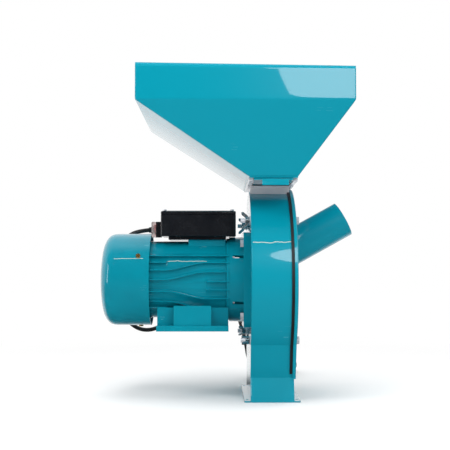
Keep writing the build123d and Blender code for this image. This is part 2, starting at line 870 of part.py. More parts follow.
# full-length ribs by their height above the axis at the left and at the right
swept_ribs = [(44.0, 44.0), (18.0, 31.5), (1.0, 14.5), (-20.5, -34.0), (-38.5, -52.0)]
short_left_ribs = [32.0, -50.0]
short_right_ribs = [-3.0, -18.0]


with BuildPart() as motor_frame:
    for side in (-1, 1):
        for left, right in swept_ribs:
            with BuildSketch(Plane.XZ):
                with BuildLine():
                    xs = (frame_back_x, rib_wave_low_x, rib_wave_high_x, frame_front_x)
                    heights = (left, left, right, right)
                    middle = [(x, shaft_height + height) for x, height in zip(xs, heights)]
                    low = [(x, z - rib_thickness / 2) for x, z in middle]
                    high = [(x, z + rib_thickness / 2) for x, z in middle]
                    for edge in (low, high):
                        Line(edge[0], edge[1])
                        Spline(edge[1], edge[2], tangents=[(1, 0), (1, 0)])
                        Line(edge[2], edge[3])
                    Line(low[0], high[0])
                    Line(low[3], high[3])
                make_face()
            extrude(amount=-side * rib_radius)
        for height in short_left_ribs:
            low_y, high_y = sorted((side * rib_core_y, side * rib_radius))
            block(
                (frame_back_x, low_y, shaft_height + height - rib_thickness / 2),
                (short_rib_left_x, high_y, shaft_height + height + rib_thickness / 2),
            )
        for height in short_right_ribs:
            low_y, high_y = sorted((side * rib_core_y, side * rib_radius))
            block(
                (short_rib_right_x, low_y, shaft_height + height - rib_thickness / 2),
                (frame_front_x, high_y, shaft_height + height + rib_thickness / 2),
            )
    # the ribs end on a round envelope
    with BuildSketch(Plane.YZ.offset(frame_back_x)):
        with Locations(axis_centre):
            Circle(rib_radius)
    extrude(amount=frame_front_x - frame_back_x, mode=Mode.INTERSECT)
    bar(frame_back_x, frame_front_x - frame_back_x, frame_radius)
    bar(frame_front_x - rim_length, rim_length, bell_radius - 2.0)
    block(
        (pad_low_x, -pad_half_y, shaft_height),
        (pad_high_x, pad_half_y, pad_top_z),
    )
    bar(frame_back_x, frame_front_x - frame_back_x, frame_bore, mode=Mode.SUBTRACT)
motor_frame.part.label = "motor_frame"
export_step(motor_frame.part, "parts/motor_frame.step")

with BuildPart() as motor_feet:
    for side in (-1, 1):
        inner_y = side * (foot_wall_y - 40.0)
        wall_y = side * foot_wall_y
        plate_y = sorted((inner_y, side * foot_half_y))
        block(
            (foot_low_x, plate_y[0], foot_bottom_z),
            (foot_high_x, plate_y[1], foot_bottom_z + foot_thickness),
        )
        low_y, high_y = sorted((inner_y, wall_y))
        block(
            (foot_low_x, low_y, foot_bottom_z),
            (foot_high_x, high_y, foot_block_top_z - 4.0),
        )
        low_y, high_y = sorted((inner_y, side * foot_block_y))
        block(
            (foot_block_low_x, low_y, foot_bottom_z),
            (foot_block_high_x, high_y, foot_block_top_z),
        )
    # bedded on the frame's own ribs and rim
    bar(foot_low_x, foot_high_x - foot_low_x, rib_radius + 0.2, mode=Mode.SUBTRACT)
    with BuildSketch(Plane.XY.offset(foot_bottom_z)):
        with Locations(((foot_low_x + foot_high_x) / 2, 0)):
            with GridLocations(foot_hole_x, foot_hole_y, 2, 2):
                Circle(foot_hole_radius)
    extrude(amount=foot_block_top_z, mode=Mode.SUBTRACT)
motor_feet.part.label = "motor_feet"
export_step(motor_feet.part, "parts/motor_feet.step")

# The front shield is a bell with the square flange that carries the whole motor.
bell_web = 7.0
bell_wall = 10.0
bearing_boss_radius = 33.0
shield_bolt_circle = 72.5
shield_bolt_angles = (32.0, 148.0, 212.0, 328.0)
shield_pocket_radius = 7.0
shield_bolt_radius = 2.5
shield_bolt_flange = 6.0

shield_bolt_places = [
    (
        shield_bolt_circle * math.cos(math.radians(angle)),
        shaft_height + shield_bolt_circle * math.sin(math.radians(angle)),
    )
    for angle in shield_bolt_angles
]

with BuildPart() as front_end_shield:
    bar(frame_front_x, flange_back_x - frame_front_x, bell_radius)
    with BuildSketch(Plane.YZ.offset(flange_back_x)):
        with Locations(axis_centre):
            RectangleRounded(flange_size, flange_size, flange_corner)
    extrude(amount=flange_thickness)
    web_x = flange_back_x - bell_web
    bar(
        frame_front_x,
        web_x - frame_front_x,
        bell_radius - bell_wall,
        bore=bearing_boss_radius,
        mode=Mode.SUBTRACT,
    )
    bar(
        frame_front_x,
        front_bearing_x + bearing_width - frame_front_x,
        bearing_radius,
        mode=Mode.SUBTRACT,
    )
    bar(frame_front_x, housing_back_x - frame_front_x, bearing_bore + 1.5, mode=Mode.SUBTRACT)
    bar(seal_x, housing_back_x - seal_x, seal_radius, mode=Mode.SUBTRACT)
    # pockets for the bolts that clamp the shield to the frame
    with BuildSketch(Plane.YZ.offset(frame_front_x + shield_bolt_flange)):
        with Locations(*shield_bolt_places):
            Circle(shield_pocket_radius)
    extrude(amount=flange_back_x - frame_front_x - shield_bolt_flange, mode=Mode.SUBTRACT)
    with BuildSketch(Plane.YZ.offset(frame_front_x)):
        with Locations(*shield_bolt_places):
            Circle(shield_bolt_radius)
    extrude(amount=shield_bolt_flange, mode=Mode.SUBTRACT)
    with BuildSketch(Plane.YZ.offset(flange_back_x)):
        with Locations(*flange_bolt_places()):
            Circle(flange_bolt_radius + bolt_clearance)
    extrude(amount=flange_thickness, mode=Mode.SUBTRACT)
front_end_shield.part.label = "front_end_shield"
export_step(front_end_shield.part, "parts/front_end_shield.step")

shield_head_height = 3.5
with BuildPart() as shield_bolts:
    rods(shield_bolt_places, frame_front_x, shield_bolt_flange, shield_bolt_radius)
    rods(
        shield_bolt_places,
        frame_front_x + shield_bolt_flange,
        shield_head_height,
        2 * shield_bolt_radius,
        sides=6,
    )
shield_bolts.part.label = "shield_bolts"
export_step(shield_bolts.part, "parts/shield_bolts.step")

nut_height = 6.5
with BuildPart() as flange_bolts:
    rods(
        flange_bolt_places(),
        flange_back_x,
        housing_inner_back_x - flange_back_x + nut_height,
        flange_bolt_radius,
    )
    rods(
        flange_bolt_places(),
        flange_back_x - bolt_head_height,
        bolt_head_height,
        bolt_head_radius,
        sides=6,
    )
    rods(flange_bolt_places(), housing_inner_back_x, nut_height, bolt_head_radius, sides=6)
flange_bolts.part.label = "flange_bolts"
export_step(flange_bolts.part, "parts/flange_bolts.step")

lug_angles = (60.0, 180.0, 300.0)
lug_width = 12.0
lug_length = 12.0
lug_inner_radius = 60.0
fan_screw_radius = 2.0
fan_screw_depth = 8.0
fan_screw_head_radius = 4.2
fan_screw_head_height = 2.4
fan_cover_bore = fan_cover_radius - fan_cover_wall

with BuildPart() as rear_end_shield:
    bar(rear_shield_back_x, frame_back_x - rear_shield_back_x, frame_radius)
    bar(
        rear_bearing_x + bearing_width,
        frame_back_x - rear_bearing_x - bearing_width,
        frame_radius - bell_wall,
        mode=Mode.SUBTRACT,
    )
    bar(rear_bearing_x, bearing_width, bearing_radius, mode=Mode.SUBTRACT)
    bar(rear_shield_back_x, -rear_shield_back_x + rear_bearing_x, bearing_bore, mode=Mode.SUBTRACT)
    for angle in lug_angles:
        with BuildSketch(radial_place(fan_screw_x, angle, lug_inner_radius)):
            Rectangle(lug_length, lug_width)
        extrude(amount=2 * (fan_cover_radius - lug_inner_radius))
    bar(
        rear_shield_back_x,
        frame_back_x - rear_shield_back_x,
        2 * fan_cover_radius,
        bore=fan_cover_bore,
        mode=Mode.SUBTRACT,
    )
    for angle in lug_angles:
        with BuildSketch(radial_place(fan_screw_x, angle, fan_cover_bore - fan_screw_depth)):
            Circle(fan_screw_radius)
        extrude(amount=2 * fan_screw_depth, mode=Mode.SUBTRACT)
rear_end_shield.part.label = "rear_end_shield"
export_step(rear_end_shield.part, "parts/rear_end_shield.step")

fan_hub_radius = 16.0
fan_plate = 2.5
fan_radius = 68.0
fan_blade_count = 8
fan_hub_length = 26.0
fan_blade_length = 22.0

with BuildPart() as cooling_fan:
    bar(fan_front_x - fan_hub_length, fan_hub_length, fan_hub_radius, bore=fan_shaft_radius)
    bar(fan_front_x - fan_plate, fan_plate, fan_radius, bore=fan_shaft_radius)
    for k in range(fan_blade_count):
        angle = 360.0 * k / fan_blade_count
        with BuildSketch(radial_place(fan_front_x - fan_blade_length / 2, angle, fan_hub_radius - 2)):
            Rectangle(fan_blade_length, fan_plate)
        extrude(amount=fan_radius - fan_hub_radius)
cooling_fan.part.label = "cooling_fan"
export_step(cooling_fan.part, "parts/cooling_fan.step")

fan_face_radius = 40.0
fan_cone_radius = 82.5
fan_cone_x = -296.0
fan_drum_x = -286.0
grille_rings = ((12.0, 6), (21.0, 10), (30.0, 15))
grille_hole_radius = 3.2

with BuildPart() as fan_cover:
    wall = fan_cover_wall
    turned(
        [
            (fan_cover_back_x, 0),
            (fan_cover_back_x, fan_face_radius),
            (fan_cone_x, fan_cone_radius),
            (fan_drum_x, fan_cover_radius),
            (frame_back_x, fan_cover_radius),
            (frame_back_x, fan_cover_radius - wall),
            (fan_drum_x + wall, fan_cover_radius - wall),
            (fan_cone_x + wall, fan_cone_radius - wall),
            (fan_cover_back_x + wall, fan_face_radius - wall),
            (fan_cover_back_x + wall, 0),
        ]
    )
    with BuildSketch(Plane.YZ.offset(fan_cover_back_x)):
        with Locations(axis_centre):
            for ring_radius, count in grille_rings:
                with PolarLocations(ring_radius, count):
                    Circle(grille_hole_radius)
    extrude(amount=wall, mode=Mode.SUBTRACT)
    for angle in lug_angles:
        with BuildSketch(radial_place(fan_screw_x, angle, fan_cover_bore - wall)):
            Circle(fan_screw_radius)
        extrude(amount=3 * wall, mode=Mode.SUBTRACT)
fan_cover.part.label = "fan_cover"
export_step(fan_cover.part, "parts/fan_cover.step")

with BuildPart() as fan_cover_screws:
    for angle in lug_angles:
        with BuildSketch(radial_place(fan_screw_x, angle, fan_cover_bore - fan_screw_depth)):
            Circle(fan_screw_radius)
        extrude(amount=fan_screw_depth + fan_cover_wall)
        with BuildSketch(radial_place(fan_screw_x, angle, fan_cover_radius)):
            Circle(fan_screw_head_radius)
        extrude(amount=fan_screw_head_height)
fan_cover_screws.part.label = "fan_cover_screws"
export_step(fan_cover_screws.part, "parts/fan_cover_screws.step")

# --- terminal box -----------------------------------------------------------------------------

box_edge = 3.0
box_post_radius = 5.0
box_post_inset = 7.0
lid_wall = 2.5
lid_screw_radius = 1.8
lid_screw_depth = 12.0
lid_screw_head_radius = 3.6
lid_screw_head_height = 2.0
wire_hole_radius = 8.0
wire_hole_x = -120.0
box_middle_x = (box_low_x + box_high_x) / 2


def box_corners(height, radius, z, mode=Mode.ADD):
    """Round rods at the four corners of the terminal box."""
    with BuildSketch(Plane.XY.offset(z)) as section:
        with Locations((box_middle_x, 0)):
            with GridLocations(
                box_high_x - box_low_x - 2 * box_post_inset,
                2 * (box_half_y - box_post_inset),
                2,
                2,
            ):
                Circle(radius)
    extrude(section.sketch, amount=height, mode=mode)


with BuildPart() as terminal_box_base:
    block(
        (box_base_low_x, -box_base_half_y, pad_top_z),
        (box_base_high_x, box_base_half_y, box_bottom_z),
    )
    with BuildSketch(Plane.XY.offset(pad_top_z)):
        with Locations((wire_hole_x, 0)):
            Circle(wire_hole_radius)
    extrude(amount=box_bottom_z - pad_top_z, mode=Mode.SUBTRACT)
terminal_box_base.part.label = "terminal_box_base"
export_step(terminal_box_base.part, "parts/terminal_box_base.step")

with BuildPart() as terminal_box:
    block((box_low_x, -box_half_y, box_bottom_z), (box_high_x, box_half_y, box_joint_z))
    fillet(edges().filter_by(Axis.Z), box_edge)
    fillet(faces().sort_by(Axis.Z)[0].edges(), box_edge / 2)
    block(
        (box_low_x + box_wall, -box_half_y + box_wall, box_bottom_z + box_wall),
        (box_high_x - box_wall, box_half_y - box_wall, box_joint_z),
        Mode.SUBTRACT,
    )
    box_corners(box_joint_z - box_bottom_z - box_wall, box_post_radius, box_bottom_z + box_wall)
    box_corners(lid_screw_depth, lid_screw_radius, box_joint_z - lid_screw_depth, Mode.SUBTRACT)
    with BuildSketch(Plane.XY.offset(box_bottom_z)):
        with Locations((wire_hole_x, 0)):
            Circle(wire_hole_radius)
    extrude(amount=box_wall, mode=Mode.SUBTRACT)
terminal_box.part.label = "terminal_box"
export_step(terminal_box.part, "parts/terminal_box.step")

with BuildPart() as terminal_box_lid:
    block((box_low_x, -box_half_y, box_joint_z), (box_high_x, box_half_y, box_top_z))
    fillet(edges().filter_by(Axis.Z), box_edge)
    fillet(faces().sort_by(Axis.Z)[-1].edges(), box_edge)
    block(
        (box_low_x + 5 * lid_wall, -box_half_y + 5 * lid_wall, box_joint_z),
        (box_high_x - 5 * lid_wall, box_half_y - 5 * lid_wall, box_top_z - lid_wall),
        Mode.SUBTRACT,
    )
    box_corners(box_top_z - box_joint_z, lid_screw_radius, box_joint_z, Mode.SUBTRACT)
    box_corners(
        lid_screw_head_height,
        lid_screw_head_radius,
        box_top_z - lid_screw_head_height,
        Mode.SUBTRACT,
    )
terminal_box_lid.part.label = "terminal_box_lid"
export_step(terminal_box_lid.part, "parts/terminal_box_lid.step")

with BuildPart() as lid_screws:
    screw_low_z = box_joint_z - lid_screw_depth
    box_corners(box_top_z - lid_screw_head_height - screw_low_z, lid_screw_radius, screw_low_z)
    box_corners(
        lid_screw_head_height,
        lid_screw_head_radius,
        box_top_z - lid_screw_head_height,
    )
lid_screws.part.label = "lid_screws"
export_step(lid_screws.part, "parts/lid_screws.step")

capacitor_radius = 17.0
capacitor_length = 75.0
capacitor_low_x = -145.0
capacitor_y = -18.0
capacitor_z = box_bottom_z + box_wall + capacitor_radius
with BuildPart() as run_capacitor:
    with BuildSketch(Plane.YZ.offset(capacitor_low_x)):
        with Locations((capacitor_y, capacitor_z)):
            Circle(capacitor_radius)
    extrude(amount=capacitor_length)
run_capacitor.part.label = "run_capacitor"
export_step(run_capacitor.part, "parts/run_capacitor.step")

terminal_pitch = 12.0
terminal_block_size = (50.0, 18.0, 14.0)
terminal_block_y = 26.0
with BuildPart() as terminal_block:
    length, width, height = terminal_block_size
    block(
        (box_middle_x - length / 2, terminal_block_y - width / 2, box_bottom_z + box_wall),
        (box_middle_x + length / 2, terminal_block_y + width / 2, box_bottom_z + box_wall + height),
    )
    with BuildSketch(Plane.XY.offset(box_bottom_z + box_wall + height)):
        with Locations((box_middle_x, terminal_block_y)):
            with GridLocations(terminal_pitch, 1, 4, 1):
                Circle(terminal_pitch / 3)
    extrude(amount=-height / 3, mode=Mode.SUBTRACT)
terminal_block.part.label = "terminal_block"
export_step(terminal_block.part, "parts/terminal_block.step")

# --- switch, strain relief, cord and plug -------------------------------------------------------

switch_front_x = box_low_x - switch_depth
switch_middle_z = (switch_low_z + switch_high_z) / 2
rocker_pocket_depth = 6.0
rocker_pivot_x = switch_front_x + 2.0
rocker_front = 5.5
rocker_back = 2.2
pocket_margin = 2.2

with BuildPart() as switch_body:
    block(
        (switch_front_x, switch_y - switch_half_y, switch_low_z),
        (box_low_x, switch_y + switch_half_y, switch_high_z),
    )
    block(
        (
            switch_front_x,
            switch_y - rocker_half_y - body_gap,
            switch_middle_z - rocker_half_height - pocket_margin,
        ),
        (
            switch_front_x + rocker_pocket_depth,
            switch_y + rocker_half_y + body_gap,
            switch_middle_z + rocker_half_height + pocket_margin,
        ),
        Mode.SUBTRACT,
    )
switch_body.part.label = "switch_body"
export_step(switch_body.part, "parts/switch_body.step")

# at rest the rocker lies over to its off side
tilt = math.radians(rocker_tilt)
rocker_plane = Plane(
    origin=(rocker_pivot_x, switch_y, switch_middle_z),
    x_dir=(math.cos(tilt), 0, math.sin(tilt)),
    z_dir=(0, -1, 0),
)
with BuildPart() as switch_rocker:
    with BuildSketch(rocker_plane):
        with Locations(((rocker_back - rocker_front) / 2, 0)):
            Rectangle(rocker_back + rocker_front, 2 * rocker_half_height)
    extrude(amount=rocker_half_y, both=True)
switch_rocker.part.label = "switch_rocker"
export_step(switch_rocker.part, "parts/switch_rocker.step")

with BuildPart() as switch_hood:
    block(
        (switch_front_x - hood_depth, switch_y - switch_half_y, switch_low_z),
        (switch_front_x, switch_y + switch_half_y, switch_high_z),
    )
    fillet(faces().sort_by(Axis.X)[0].edges(), 2.5)
    block(
        (
            switch_front_x - hood_depth + hood_wall,
            switch_y - switch_half_y + hood_wall,
            switch_low_z + hood_wall,
        ),
        (switch_front_x, switch_y + switch_half_y - hood_wall, switch_high_z - hood_wall),
        Mode.SUBTRACT,
    )
switch_hood.part.label = "switch_hood"
export_step(switch_hood.part, "parts/switch_hood.step")

gland_nut_length = 10.0
gland_nut_radius = 10.0
gland_tip_radius = cord_radius + 1.5
gland_axis = Axis((0, gland_y, gland_z), (1, 0, 0))
with BuildPart() as cable_gland:
    with BuildSketch(Plane.YZ.offset(box_low_x - gland_nut_length)):
        with Locations((gland_y, gland_z)):
            RegularPolygon(gland_nut_radius, 6)
    extrude(amount=gland_nut_length)
    with BuildSketch(Plane.YZ.offset(gland_end_x)):
        with Locations((gland_y, gland_z)):
            Circle(gland_tip_radius)
    with BuildSketch(Plane.YZ.offset(box_low_x - gland_nut_length)):
        with Locations((gland_y, gland_z)):
            Circle(gland_nut_radius * 0.8)
    loft()
cable_gland.part.label = "cable_gland"
export_step(cable_gland.part, "parts/cable_gland.step")


def corner_radii(route):
    """The largest arc for each corner of a route: 0.45 of its shorter run over tan(half turn)."""
    points = [Vector(*p) for p in route]
    radii = []
    for before, corner, after in zip(points, points[1:], points[2:]):
        turn = math.radians((corner - before).get_angle(after - corner))
        run = min((corner - before).length, (after - corner).length)
        radii.append(0.45 * run / math.tan(turn / 2))
    return radii


cord_radii = corner_radii(cord_route)
with BuildPart() as mains_cord:
    with BuildLine() as cord_path:
        FilletPolyline(*cord_route, radius=cord_radii)
    with BuildSketch(cord_path.line ^ 0):
        Circle(cord_radius)
    sweep()
mains_cord.part.label = "mains_cord"
export_step(mains_cord.part, "parts/mains_cord.step")
cord_length = cord_path.wire().length
cord_volume = math.pi * cord_radius**2 * cord_length
print("cord radii", [round(r) for r in cord_radii])
print("cord length", round(cord_length), "volume ratio", mains_cord.part.volume / cord_volume)

with BuildPart() as cord_coil:
    with BuildSketch(Plane.XY):
        with Locations((coil_x, coil_y)):
            Circle(coil_radius + cord_diameter * coil_turns_across / 2)
            Circle(coil_radius - cord_diameter * coil_turns_across / 2, mode=Mode.SUBTRACT)
    extrude(amount=cord_diameter * coil_turns_high)
cord_coil.part.label = "cord_coil"
export_step(cord_coil.part, "parts/cord_coil.step")

# A round two-pin plug lies on its side next to the coil.
plug_boot_length = 28.0
plug_body_length = 34.0
plug_pin_length = 19.0
plug_pin_radius = 2.4
plug_pin_spacing = 19.0
plug_boot_radius = 9.0
with BuildPart() as mains_plug:
    with BuildSketch(Plane.XZ.offset(-plug_boot_y)):
        with Locations((plug_x, plug_radius)):
            Circle(gland_tip_radius)
    with BuildSketch(Plane.XZ.offset(-plug_boot_y - plug_boot_length)):
        with Locations((plug_x, plug_radius)):
            Circle(plug_boot_radius)
    loft()
    with BuildSketch(Plane.XZ.offset(-plug_boot_y - plug_boot_length)):
        with Locations((plug_x, plug_radius)):
            Circle(plug_radius)
    extrude(amount=-plug_body_length)
    with BuildSketch(Plane.XZ.offset(-plug_boot_y - plug_boot_length - plug_body_length)):
        with Locations((plug_x, plug_radius)):
            with GridLocations(plug_pin_spacing, 1, 2, 1):
                Circle(plug_pin_radius)
    extrude(amount=-plug_pin_length)
mains_plug.part.label = "mains_plug"
export_step(mains_plug.part, "parts/mains_plug.step")
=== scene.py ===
"""Electric hammer mill for grain and maize cobs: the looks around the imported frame.

Metres, +Z up. X runs along the motor shaft, from the motor at -X to the front cover at +X.
"""

import bmesh
import bpy
import numpy as np
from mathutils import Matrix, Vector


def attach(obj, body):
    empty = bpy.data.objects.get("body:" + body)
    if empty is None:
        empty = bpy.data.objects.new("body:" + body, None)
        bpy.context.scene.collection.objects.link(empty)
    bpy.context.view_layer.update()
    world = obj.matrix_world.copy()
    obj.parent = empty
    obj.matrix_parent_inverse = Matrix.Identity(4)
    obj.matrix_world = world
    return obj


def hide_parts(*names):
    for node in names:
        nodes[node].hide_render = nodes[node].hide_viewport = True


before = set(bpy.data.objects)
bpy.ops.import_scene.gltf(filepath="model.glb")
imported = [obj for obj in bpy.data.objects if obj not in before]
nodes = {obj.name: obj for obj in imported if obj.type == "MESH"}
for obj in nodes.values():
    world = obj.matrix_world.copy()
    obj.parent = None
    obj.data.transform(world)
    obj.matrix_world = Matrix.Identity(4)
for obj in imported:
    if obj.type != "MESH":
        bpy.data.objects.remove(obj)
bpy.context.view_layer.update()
scene = bpy.context.scene
mm = 0.001


# --- camera, floor and light -------------------------------------------------------------
# A pale sweep of floor under soft boxes, in a white room that is dark only behind the camera,
# so the flat sheet keeps its colour and its slanted faces pick up the white.

camera_place = (-0.0973, -1.7009, 0.2418)
camera_pitch = np.radians(2.510)
camera_yaw = np.radians(0.497)
camera_lens = 72.05

camera = bpy.data.objects.new("camera", bpy.data.cameras.new("camera"))
camera.location = camera_place
camera.rotation_euler = (np.pi / 2 + camera_pitch, 0, -camera_yaw)
camera.data.lens = camera_lens
camera.data.sensor_width = 36
camera.data.clip_end = 50
scene.collection.objects.link(camera)
scene.camera = camera
scene.view_settings.view_transform = "Standard"


def add(tree, kind, settings=None, **sockets):
    """A shader node. A socket is given by its name, with _ for a space, or by _ and its index.

    Its value is a number, a colour or another node's output.
    """
    made = tree.nodes.new(kind)
    for name, value in (settings or {}).items():
        setattr(made, name, value)
    for name, value in sockets.items():
        socket = made.inputs[int(name[1:]) if name[1:].isdigit() else name.replace("_", " ")]
        if isinstance(value, bpy.types.NodeSocket):
            tree.links.new(value, socket)
        else:
            socket.default_value = value
    return made


def soft_box(name, place, aim, width, height, power, shape="RECTANGLE", mirrored=False):
    """An area light at place, turned to face aim. Only a mirrored one shows in glossy paint."""
    data = bpy.data.lights.new(name, "AREA")
    data.shape, data.size, data.size_y = shape, width, height
    data.energy = power
    lamp = bpy.data.objects.new(name, data)
    lamp.location = place
    way = Vector(aim) - Vector(place)
    lamp.rotation_euler = way.to_track_quat("-Z", "Y").to_euler()
    lamp.visible_glossy = mirrored
    scene.collection.objects.link(lamp)
    return lamp


soft_box("round_box", (0.65, -1.70, 1.20), (0, 0, 0.35), 1.14, 1.14, 17, "ELLIPSE", True)
soft_box("left_strip", (-1.75, -0.95, 0.60), (-0.1, 0, 0.30), 0.35, 1.2, 7, mirrored=True)
soft_box("left_box", (-0.9, -1.3, 1.9), (0, 0, 0.25), 1.0, 1.0, 15)
soft_box("top_box", (0.0, -0.2, 2.1), (0, 0, 0.20), 1.8, 1.2, 27)
soft_box("low_box", (-0.3, -1.5, 0.12), (-0.05, 0, 0.15), 1.6, 0.2, 3)

world = bpy.data.worlds.new("white_room")
world.use_nodes = True
scene.world = world
tree = world.node_tree
tree.nodes.clear()
way = add(tree, "ShaderNodeTexCoord").outputs["Generated"]
split = add(tree, "ShaderNodeSeparateXYZ", Vector=way)
room = add(
    tree,
    "ShaderNodeMapRange",
    {"interpolation_type": "SMOOTHSTEP"},
    Value=split.outputs["Y"],
    From_Min=-0.35,
    From_Max=0.15,
    To_Min=0.02,
    To_Max=0.95,
)
seen = add(tree, "ShaderNodeLightPath").outputs["Is Camera Ray"]
level = add(
    tree,
    "ShaderNodeMix",
    {"data_type": "FLOAT"},
    Factor=seen,
    A=room.outputs["Result"],
    B=1.0,
)
back = add(tree, "ShaderNodeBackground", Color=(1, 1, 1, 1), Strength=level.outputs[0])
out = add(tree, "ShaderNodeOutputWorld", Surface=back.outputs[0])

floor_half = 6.0
# share of the painted shade on the near paper that bounced light sees
painted_dark_in_bounce_share = 0.30
floor_mesh = bpy.data.meshes.new("floor")
floor_mesh.from_pydata(
    [(x * floor_half, y * floor_half, 0) for x, y in ((-1, -1), (1, -1), (1, 1), (-1, 1))],
    [],
    [(0, 1, 2, 3)],
)
floor = bpy.data.objects.new("floor", floor_mesh)
scene.collection.objects.link(floor)
floor_paint = bpy.data.materials.new("floor_paper")
floor_paint.use_nodes = True
floor_shader = floor_paint.node_tree.nodes["Principled BSDF"]
tree = floor_paint.node_tree
split = add(tree, "ShaderNodeSeparateXYZ", Vector=add(tree, "ShaderNodeTexCoord").outputs["Object"])
# Painted shade: in reflections the paper on the camera's side of the object is near black, and in
# bounced light about 30 % darker, so the paint and the undersides don't pick up its white there. It
# fades to pale towards the back, and the camera always sees it pale.
near = add(
    tree,
    "ShaderNodeMapRange",
    {"interpolation_type": "SMOOTHSTEP"},
    Value=split.outputs["Y"],
    From_Min=0.05,
    From_Max=0.35,
    To_Min=1.0,
    To_Max=0.1,
)
rays = add(tree, "ShaderNodeLightPath")
bounced = add(
    tree,
    "ShaderNodeMath",
    {"operation": "MULTIPLY_ADD"},
    _0=rays.outputs["Is Diffuse Ray"],
    _1=painted_dark_in_bounce_share,
    _2=rays.outputs["Is Glossy Ray"],
)
shaded = add(
    tree, "ShaderNodeMath", {"operation": "MULTIPLY"}, _0=near.outputs[0], _1=bounced.outputs[0]
)
paper = add(
    tree,
    "ShaderNodeMix",
    {"data_type": "RGBA"},
    _0=shaded.outputs[0],
    _6=(0.92, 0.92, 0.92, 1),
    _7=(0.02, 0.02, 0.02, 1),
)
tree.links.new(paper.outputs[2], floor_shader.inputs["Base Color"])
# beyond the object the paper runs out into the white of the room
away = add(
    tree,
    "ShaderNodeVectorMath",
    {"operation": "LENGTH"},
    _0=add(tree, "ShaderNodeTexCoord").outputs["Object"],
)
fade = add(
    tree,
    "ShaderNodeMapRange",
    {"interpolation_type": "SMOOTHSTEP"},
    Value=away.outputs["Value"],
    From_Min=0.35,
    From_Max=1.30,
)
glow = add(tree, "ShaderNodeEmission", Color=paper.outputs[2], Strength=1.09)
mixed = add(
    tree, "ShaderNodeMixShader", _0=fade.outputs[0], _1=floor_shader.outputs[0], _2=glow.outputs[0]
)
tree.links.new(mixed.outputs[0], tree.nodes["Material Output"].inputs["Surface"])
floor_shader.inputs["Roughness"].default_value = 0.9
floor_shader.inputs["Specular IOR Level"].default_value = 0.1
floor_mesh.materials.append(floor_paint)


# --- sheet housing -------------------------------------------------------------------------
# A drum of 2 mm sheet with a back plate and a base, welded and powder coated in a glossy teal.
# The coat has a fine orange peel, and its shade and gloss drift a little from place to place.

teal = (0.0005, 0.298, 0.404)
teal_patches = (0.0003, 0.300, 0.410)
# the colour of a painted highlight: a thin pale line along the near side of the drum, the fan cover
# and the motor frame
painted_highlight_colour = (0.62, 0.68, 0.58, 1)
painted_highlight_side_y = -0.05  # the painted highlight shows only on the near side of this Y, in metres


def effect(name, sockets_in, sockets_out):
    """An empty shader node group with these inputs (name, kind, default) and outputs (name, kind)."""
    group = bpy.data.node_groups.new(name, "ShaderNodeTree")
    for label, kind, value in sockets_in:
        group.interface.new_socket(label, in_out="INPUT", socket_type=kind).default_value = value
    for label, kind in sockets_out:
        group.interface.new_socket(label, in_out="OUTPUT", socket_type=kind)
    start = group.nodes.new("NodeGroupInput")
    end = group.nodes.new("NodeGroupOutput")
    return group, start, end


def cloud_effect():
    """Slow patches over a surface: noise, put out as a mask from 0 to 1 and as a roughness."""
    group, start, end = effect(
        "clouds",
        [
            ("Scale", "NodeSocketFloat", 12.0),
            ("Rough low", "NodeSocketFloat", 0.2),
            ("Rough high", "NodeSocketFloat", 0.3),
        ],
        [("Mask", "NodeSocketFloat"), ("Roughness", "NodeSocketFloat")],
    )
    place = add(group, "ShaderNodeTexCoord").outputs["Object"]
    noise = add(
        group,
        "ShaderNodeTexNoise",
        Vector=place,
        Scale=start.outputs["Scale"],
        Detail=5.0,
        Roughness=0.55,
    )
    mask = add(group, "ShaderNodeMapRange", Value=noise.outputs[0], From_Min=0.3, From_Max=0.7)
    rough = add(
        group,
        "ShaderNodeMapRange",
        Value=mask.outputs[0],
        To_Min=start.outputs["Rough low"],
        To_Max=start.outputs["Rough high"],
    )
    group.links.new(mask.outputs[0], end.inputs["Mask"])
    group.links.new(rough.outputs[0], end.inputs["Roughness"])
    return group


def grain_effect():
    """Fine relief: noise at a given pitch, put out as a height from 0 to 1."""
    group, start, end = effect(
        "grain",
        [("Scale", "NodeSocketFloat", 900.0), ("Detail", "NodeSocketFloat", 2.0)],
        [("Height", "NodeSocketFloat")],
    )
    place = add(group, "ShaderNodeTexCoord").outputs["Object"]
    noise = add(
        group,
        "ShaderNodeTexNoise",
        Vector=place,
        Scale=start.outputs["Scale"],
        Detail=start.outputs["Detail"],
        Roughness=0.5,
    )
    group.links.new(noise.outputs[0], end.inputs["Height"])
    return group


def scuff_effect():
    """Thin pale scuffs, as a mask.

    A band of stretched noise near its middle value, broken up by a slower noise.
    """
    group, start, end = effect(
        "scuffs",
        [
            ("Along", "NodeSocketVector", (4.0, 60.0, 240.0)),
            ("Width", "NodeSocketFloat", 0.006),
            ("Cover", "NodeSocketFloat", 0.62),
        ],
        [("Mask", "NodeSocketFloat")],
    )
    place = add(group, "ShaderNodeTexCoord").outputs["Object"]
    stretched = add(
        group,
        "ShaderNodeVectorMath",
        {"operation": "MULTIPLY"},
        _0=place,
        _1=start.outputs["Along"],
    )
    lines = add(group, "ShaderNodeTexNoise", Vector=stretched.outputs[0], Scale=1.0, Detail=1.0)
    off = add(group, "ShaderNodeMath", {"operation": "SUBTRACT"}, _0=lines.outputs[0], _1=0.5)
    near = add(group, "ShaderNodeMath", {"operation": "ABSOLUTE"}, _0=off.outputs[0])
    thin = add(
        group,
        "ShaderNodeMath",
        {"operation": "LESS_THAN"},
        _0=near.outputs[0],
        _1=start.outputs["Width"],
    )
    slow = add(group, "ShaderNodeTexNoise", Vector=place, Scale=23.0, Detail=2.0)
    here = add(
        group,
        "ShaderNodeMath",
        {"operation": "GREATER_THAN"},
        _0=slow.outputs[0],
        _1=start.outputs["Cover"],
    )
    both = add(
        group,
        "ShaderNodeMath",
        {"operation": "MULTIPLY"},
        _0=thin.outputs[0],
        _1=here.outputs[0],
    )
    group.links.new(both.outputs[0], end.inputs["Mask"])
    return group


